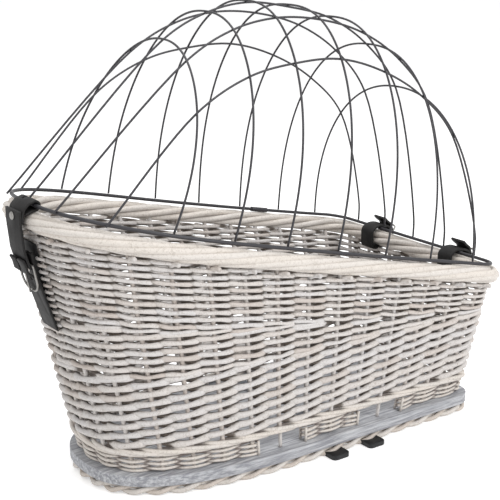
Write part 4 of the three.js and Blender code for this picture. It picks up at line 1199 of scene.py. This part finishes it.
class BASKET_OT_grille(bpy.types.Operator):
    """Bend the ring, the hoops and the runners of the grille"""

    bl_idname = "basket.grille"
    bl_label = "Grille"

    def execute(self, context):
        ring = Rods("ring_wire", 3)
        ring.add(ring_points(np.linspace(0, 1, 360, endpoint=False)), RING_R, closed=True)
        ring.piece("grille", "wire", "wire", "grille_ring")
        hoops = [Hoop(i) for i in range(len(HOOPS))]
        paths = {}
        for i, hoop in enumerate(hoops, 1):
            paths["hoop", i] = even_path(hoop.at_turn(np.linspace(0, math.pi, 600)), 110)
        for i, runner in enumerate(RUNNERS, 1):
            paths["runner", i] = even_path(runner_points(hoops, *runner), 130)
        for (kind, i), path in paths.items():
            wire = Rods(f"{kind}_wire_{i}", 2)
            wire.add(path, WIRE_R)
            wire.piece("grille", "wire", "wire", f"{kind}_{i}")
        sleeve = rounded_copy("ring_sleeve", "crimped_sleeve", 0.3, 2, 50)
        finish_piece(sleeve, "grille", "wire", "wire", "ring_sleeve")
        return {"FINISHED"}


class BASKET_OT_leather(bpy.types.Operator):
    """Make the leather straps with their buckles and the press stud"""

    bl_idname = "basket.leather"
    bl_label = "Leather and buckles"

    def execute(self, context):
        straps = {
            "hinge_strap_near": "basket",
            "hinge_strap_far": "basket",
            "closure_backing": "basket",
            "closure_tab": "grille",
            "closure_strap": "closure_strap",
            "closure_billet": "closure_strap",
        }
        for node, body in straps.items():
            strap = rounded_copy(node, node + "_leather", 0.6, 2, 50)
            finish_piece(strap, body, "leather", "leather", node)
        for suffix, y in (("_near", -HINGE_Y), ("_far", HINGE_Y)):
            add_buckle("hinge", suffix, y, ("basket", "hinge_prong" + suffix), **HINGE_BUCKLE)
        add_buckle("closure", "", CLOSURE_Y, ("closure_strap", "closure_prong"), **CLOSURE_BUCKLE)
        stud = rounded_copy("closure_stud", "press_stud", 0.4, 3, 25)
        finish_piece(stud, "closure_strap", "nickel", "nickel", "closure_stud")
        return {"FINISHED"}


class BASKET_OT_clamps(bpy.types.Operator):
    """Give the clamp bars, the strip, the screws, the washers and the wing nuts their finish"""

    bl_idname = "basket.clamps"
    bl_label = "Clamps"

    def execute(self, context):
        for name, node in NODES.items():
            if name.startswith(("clamp_bar", "under_strip")):
                kind = "steel"
            elif name.startswith(("clamp_", "wing_nut")):
                kind = "zinc"
            else:
                continue
            node.data.materials.clear()
            node.data.materials.append(finish(kind))
        return {"FINISHED"}


class BASKET_PT_panel(bpy.types.Panel):
    """Lists the operators and the settings in the sidebar"""

    bl_idname = "BASKET_PT_panel"
    bl_label = "Dog bicycle basket"
    bl_space_type = "VIEW_3D"
    bl_region_type = "UI"
    bl_category = "Basket"

    def draw(self, context):
        for settings in (context.scene.basket_sizes, context.scene.basket_colours):
            for name in settings.__annotations__:
                self.layout.prop(settings, name)
        for step in STEPS:
            self.layout.operator(step.bl_idname)


STEPS = (
    BASKET_OT_stage,
    BASKET_OT_board,
    BASKET_OT_foot,
    BASKET_OT_wall,
    BASKET_OT_border,
    BASKET_OT_grille,
    BASKET_OT_leather,
    BASKET_OT_clamps,
)
CLASSES = (BasketSizes, BasketColours, *STEPS, BASKET_PT_panel)


def register():
    for item in CLASSES:
        bpy.utils.register_class(item)
    bpy.types.Scene.basket_sizes = bpy.props.PointerProperty(type=BasketSizes)
    bpy.types.Scene.basket_colours = bpy.props.PointerProperty(type=BasketColours)


def unregister():
    del bpy.types.Scene.basket_sizes
    del bpy.types.Scene.basket_colours
    for item in reversed(CLASSES):
        bpy.utils.unregister_class(item)


def main():
    register()
    for step in STEPS:
        getattr(bpy.ops.basket, step.bl_idname.split(".")[1])()
    bpy.context.view_layer.update()


if __name__ == "__main__":
    main()
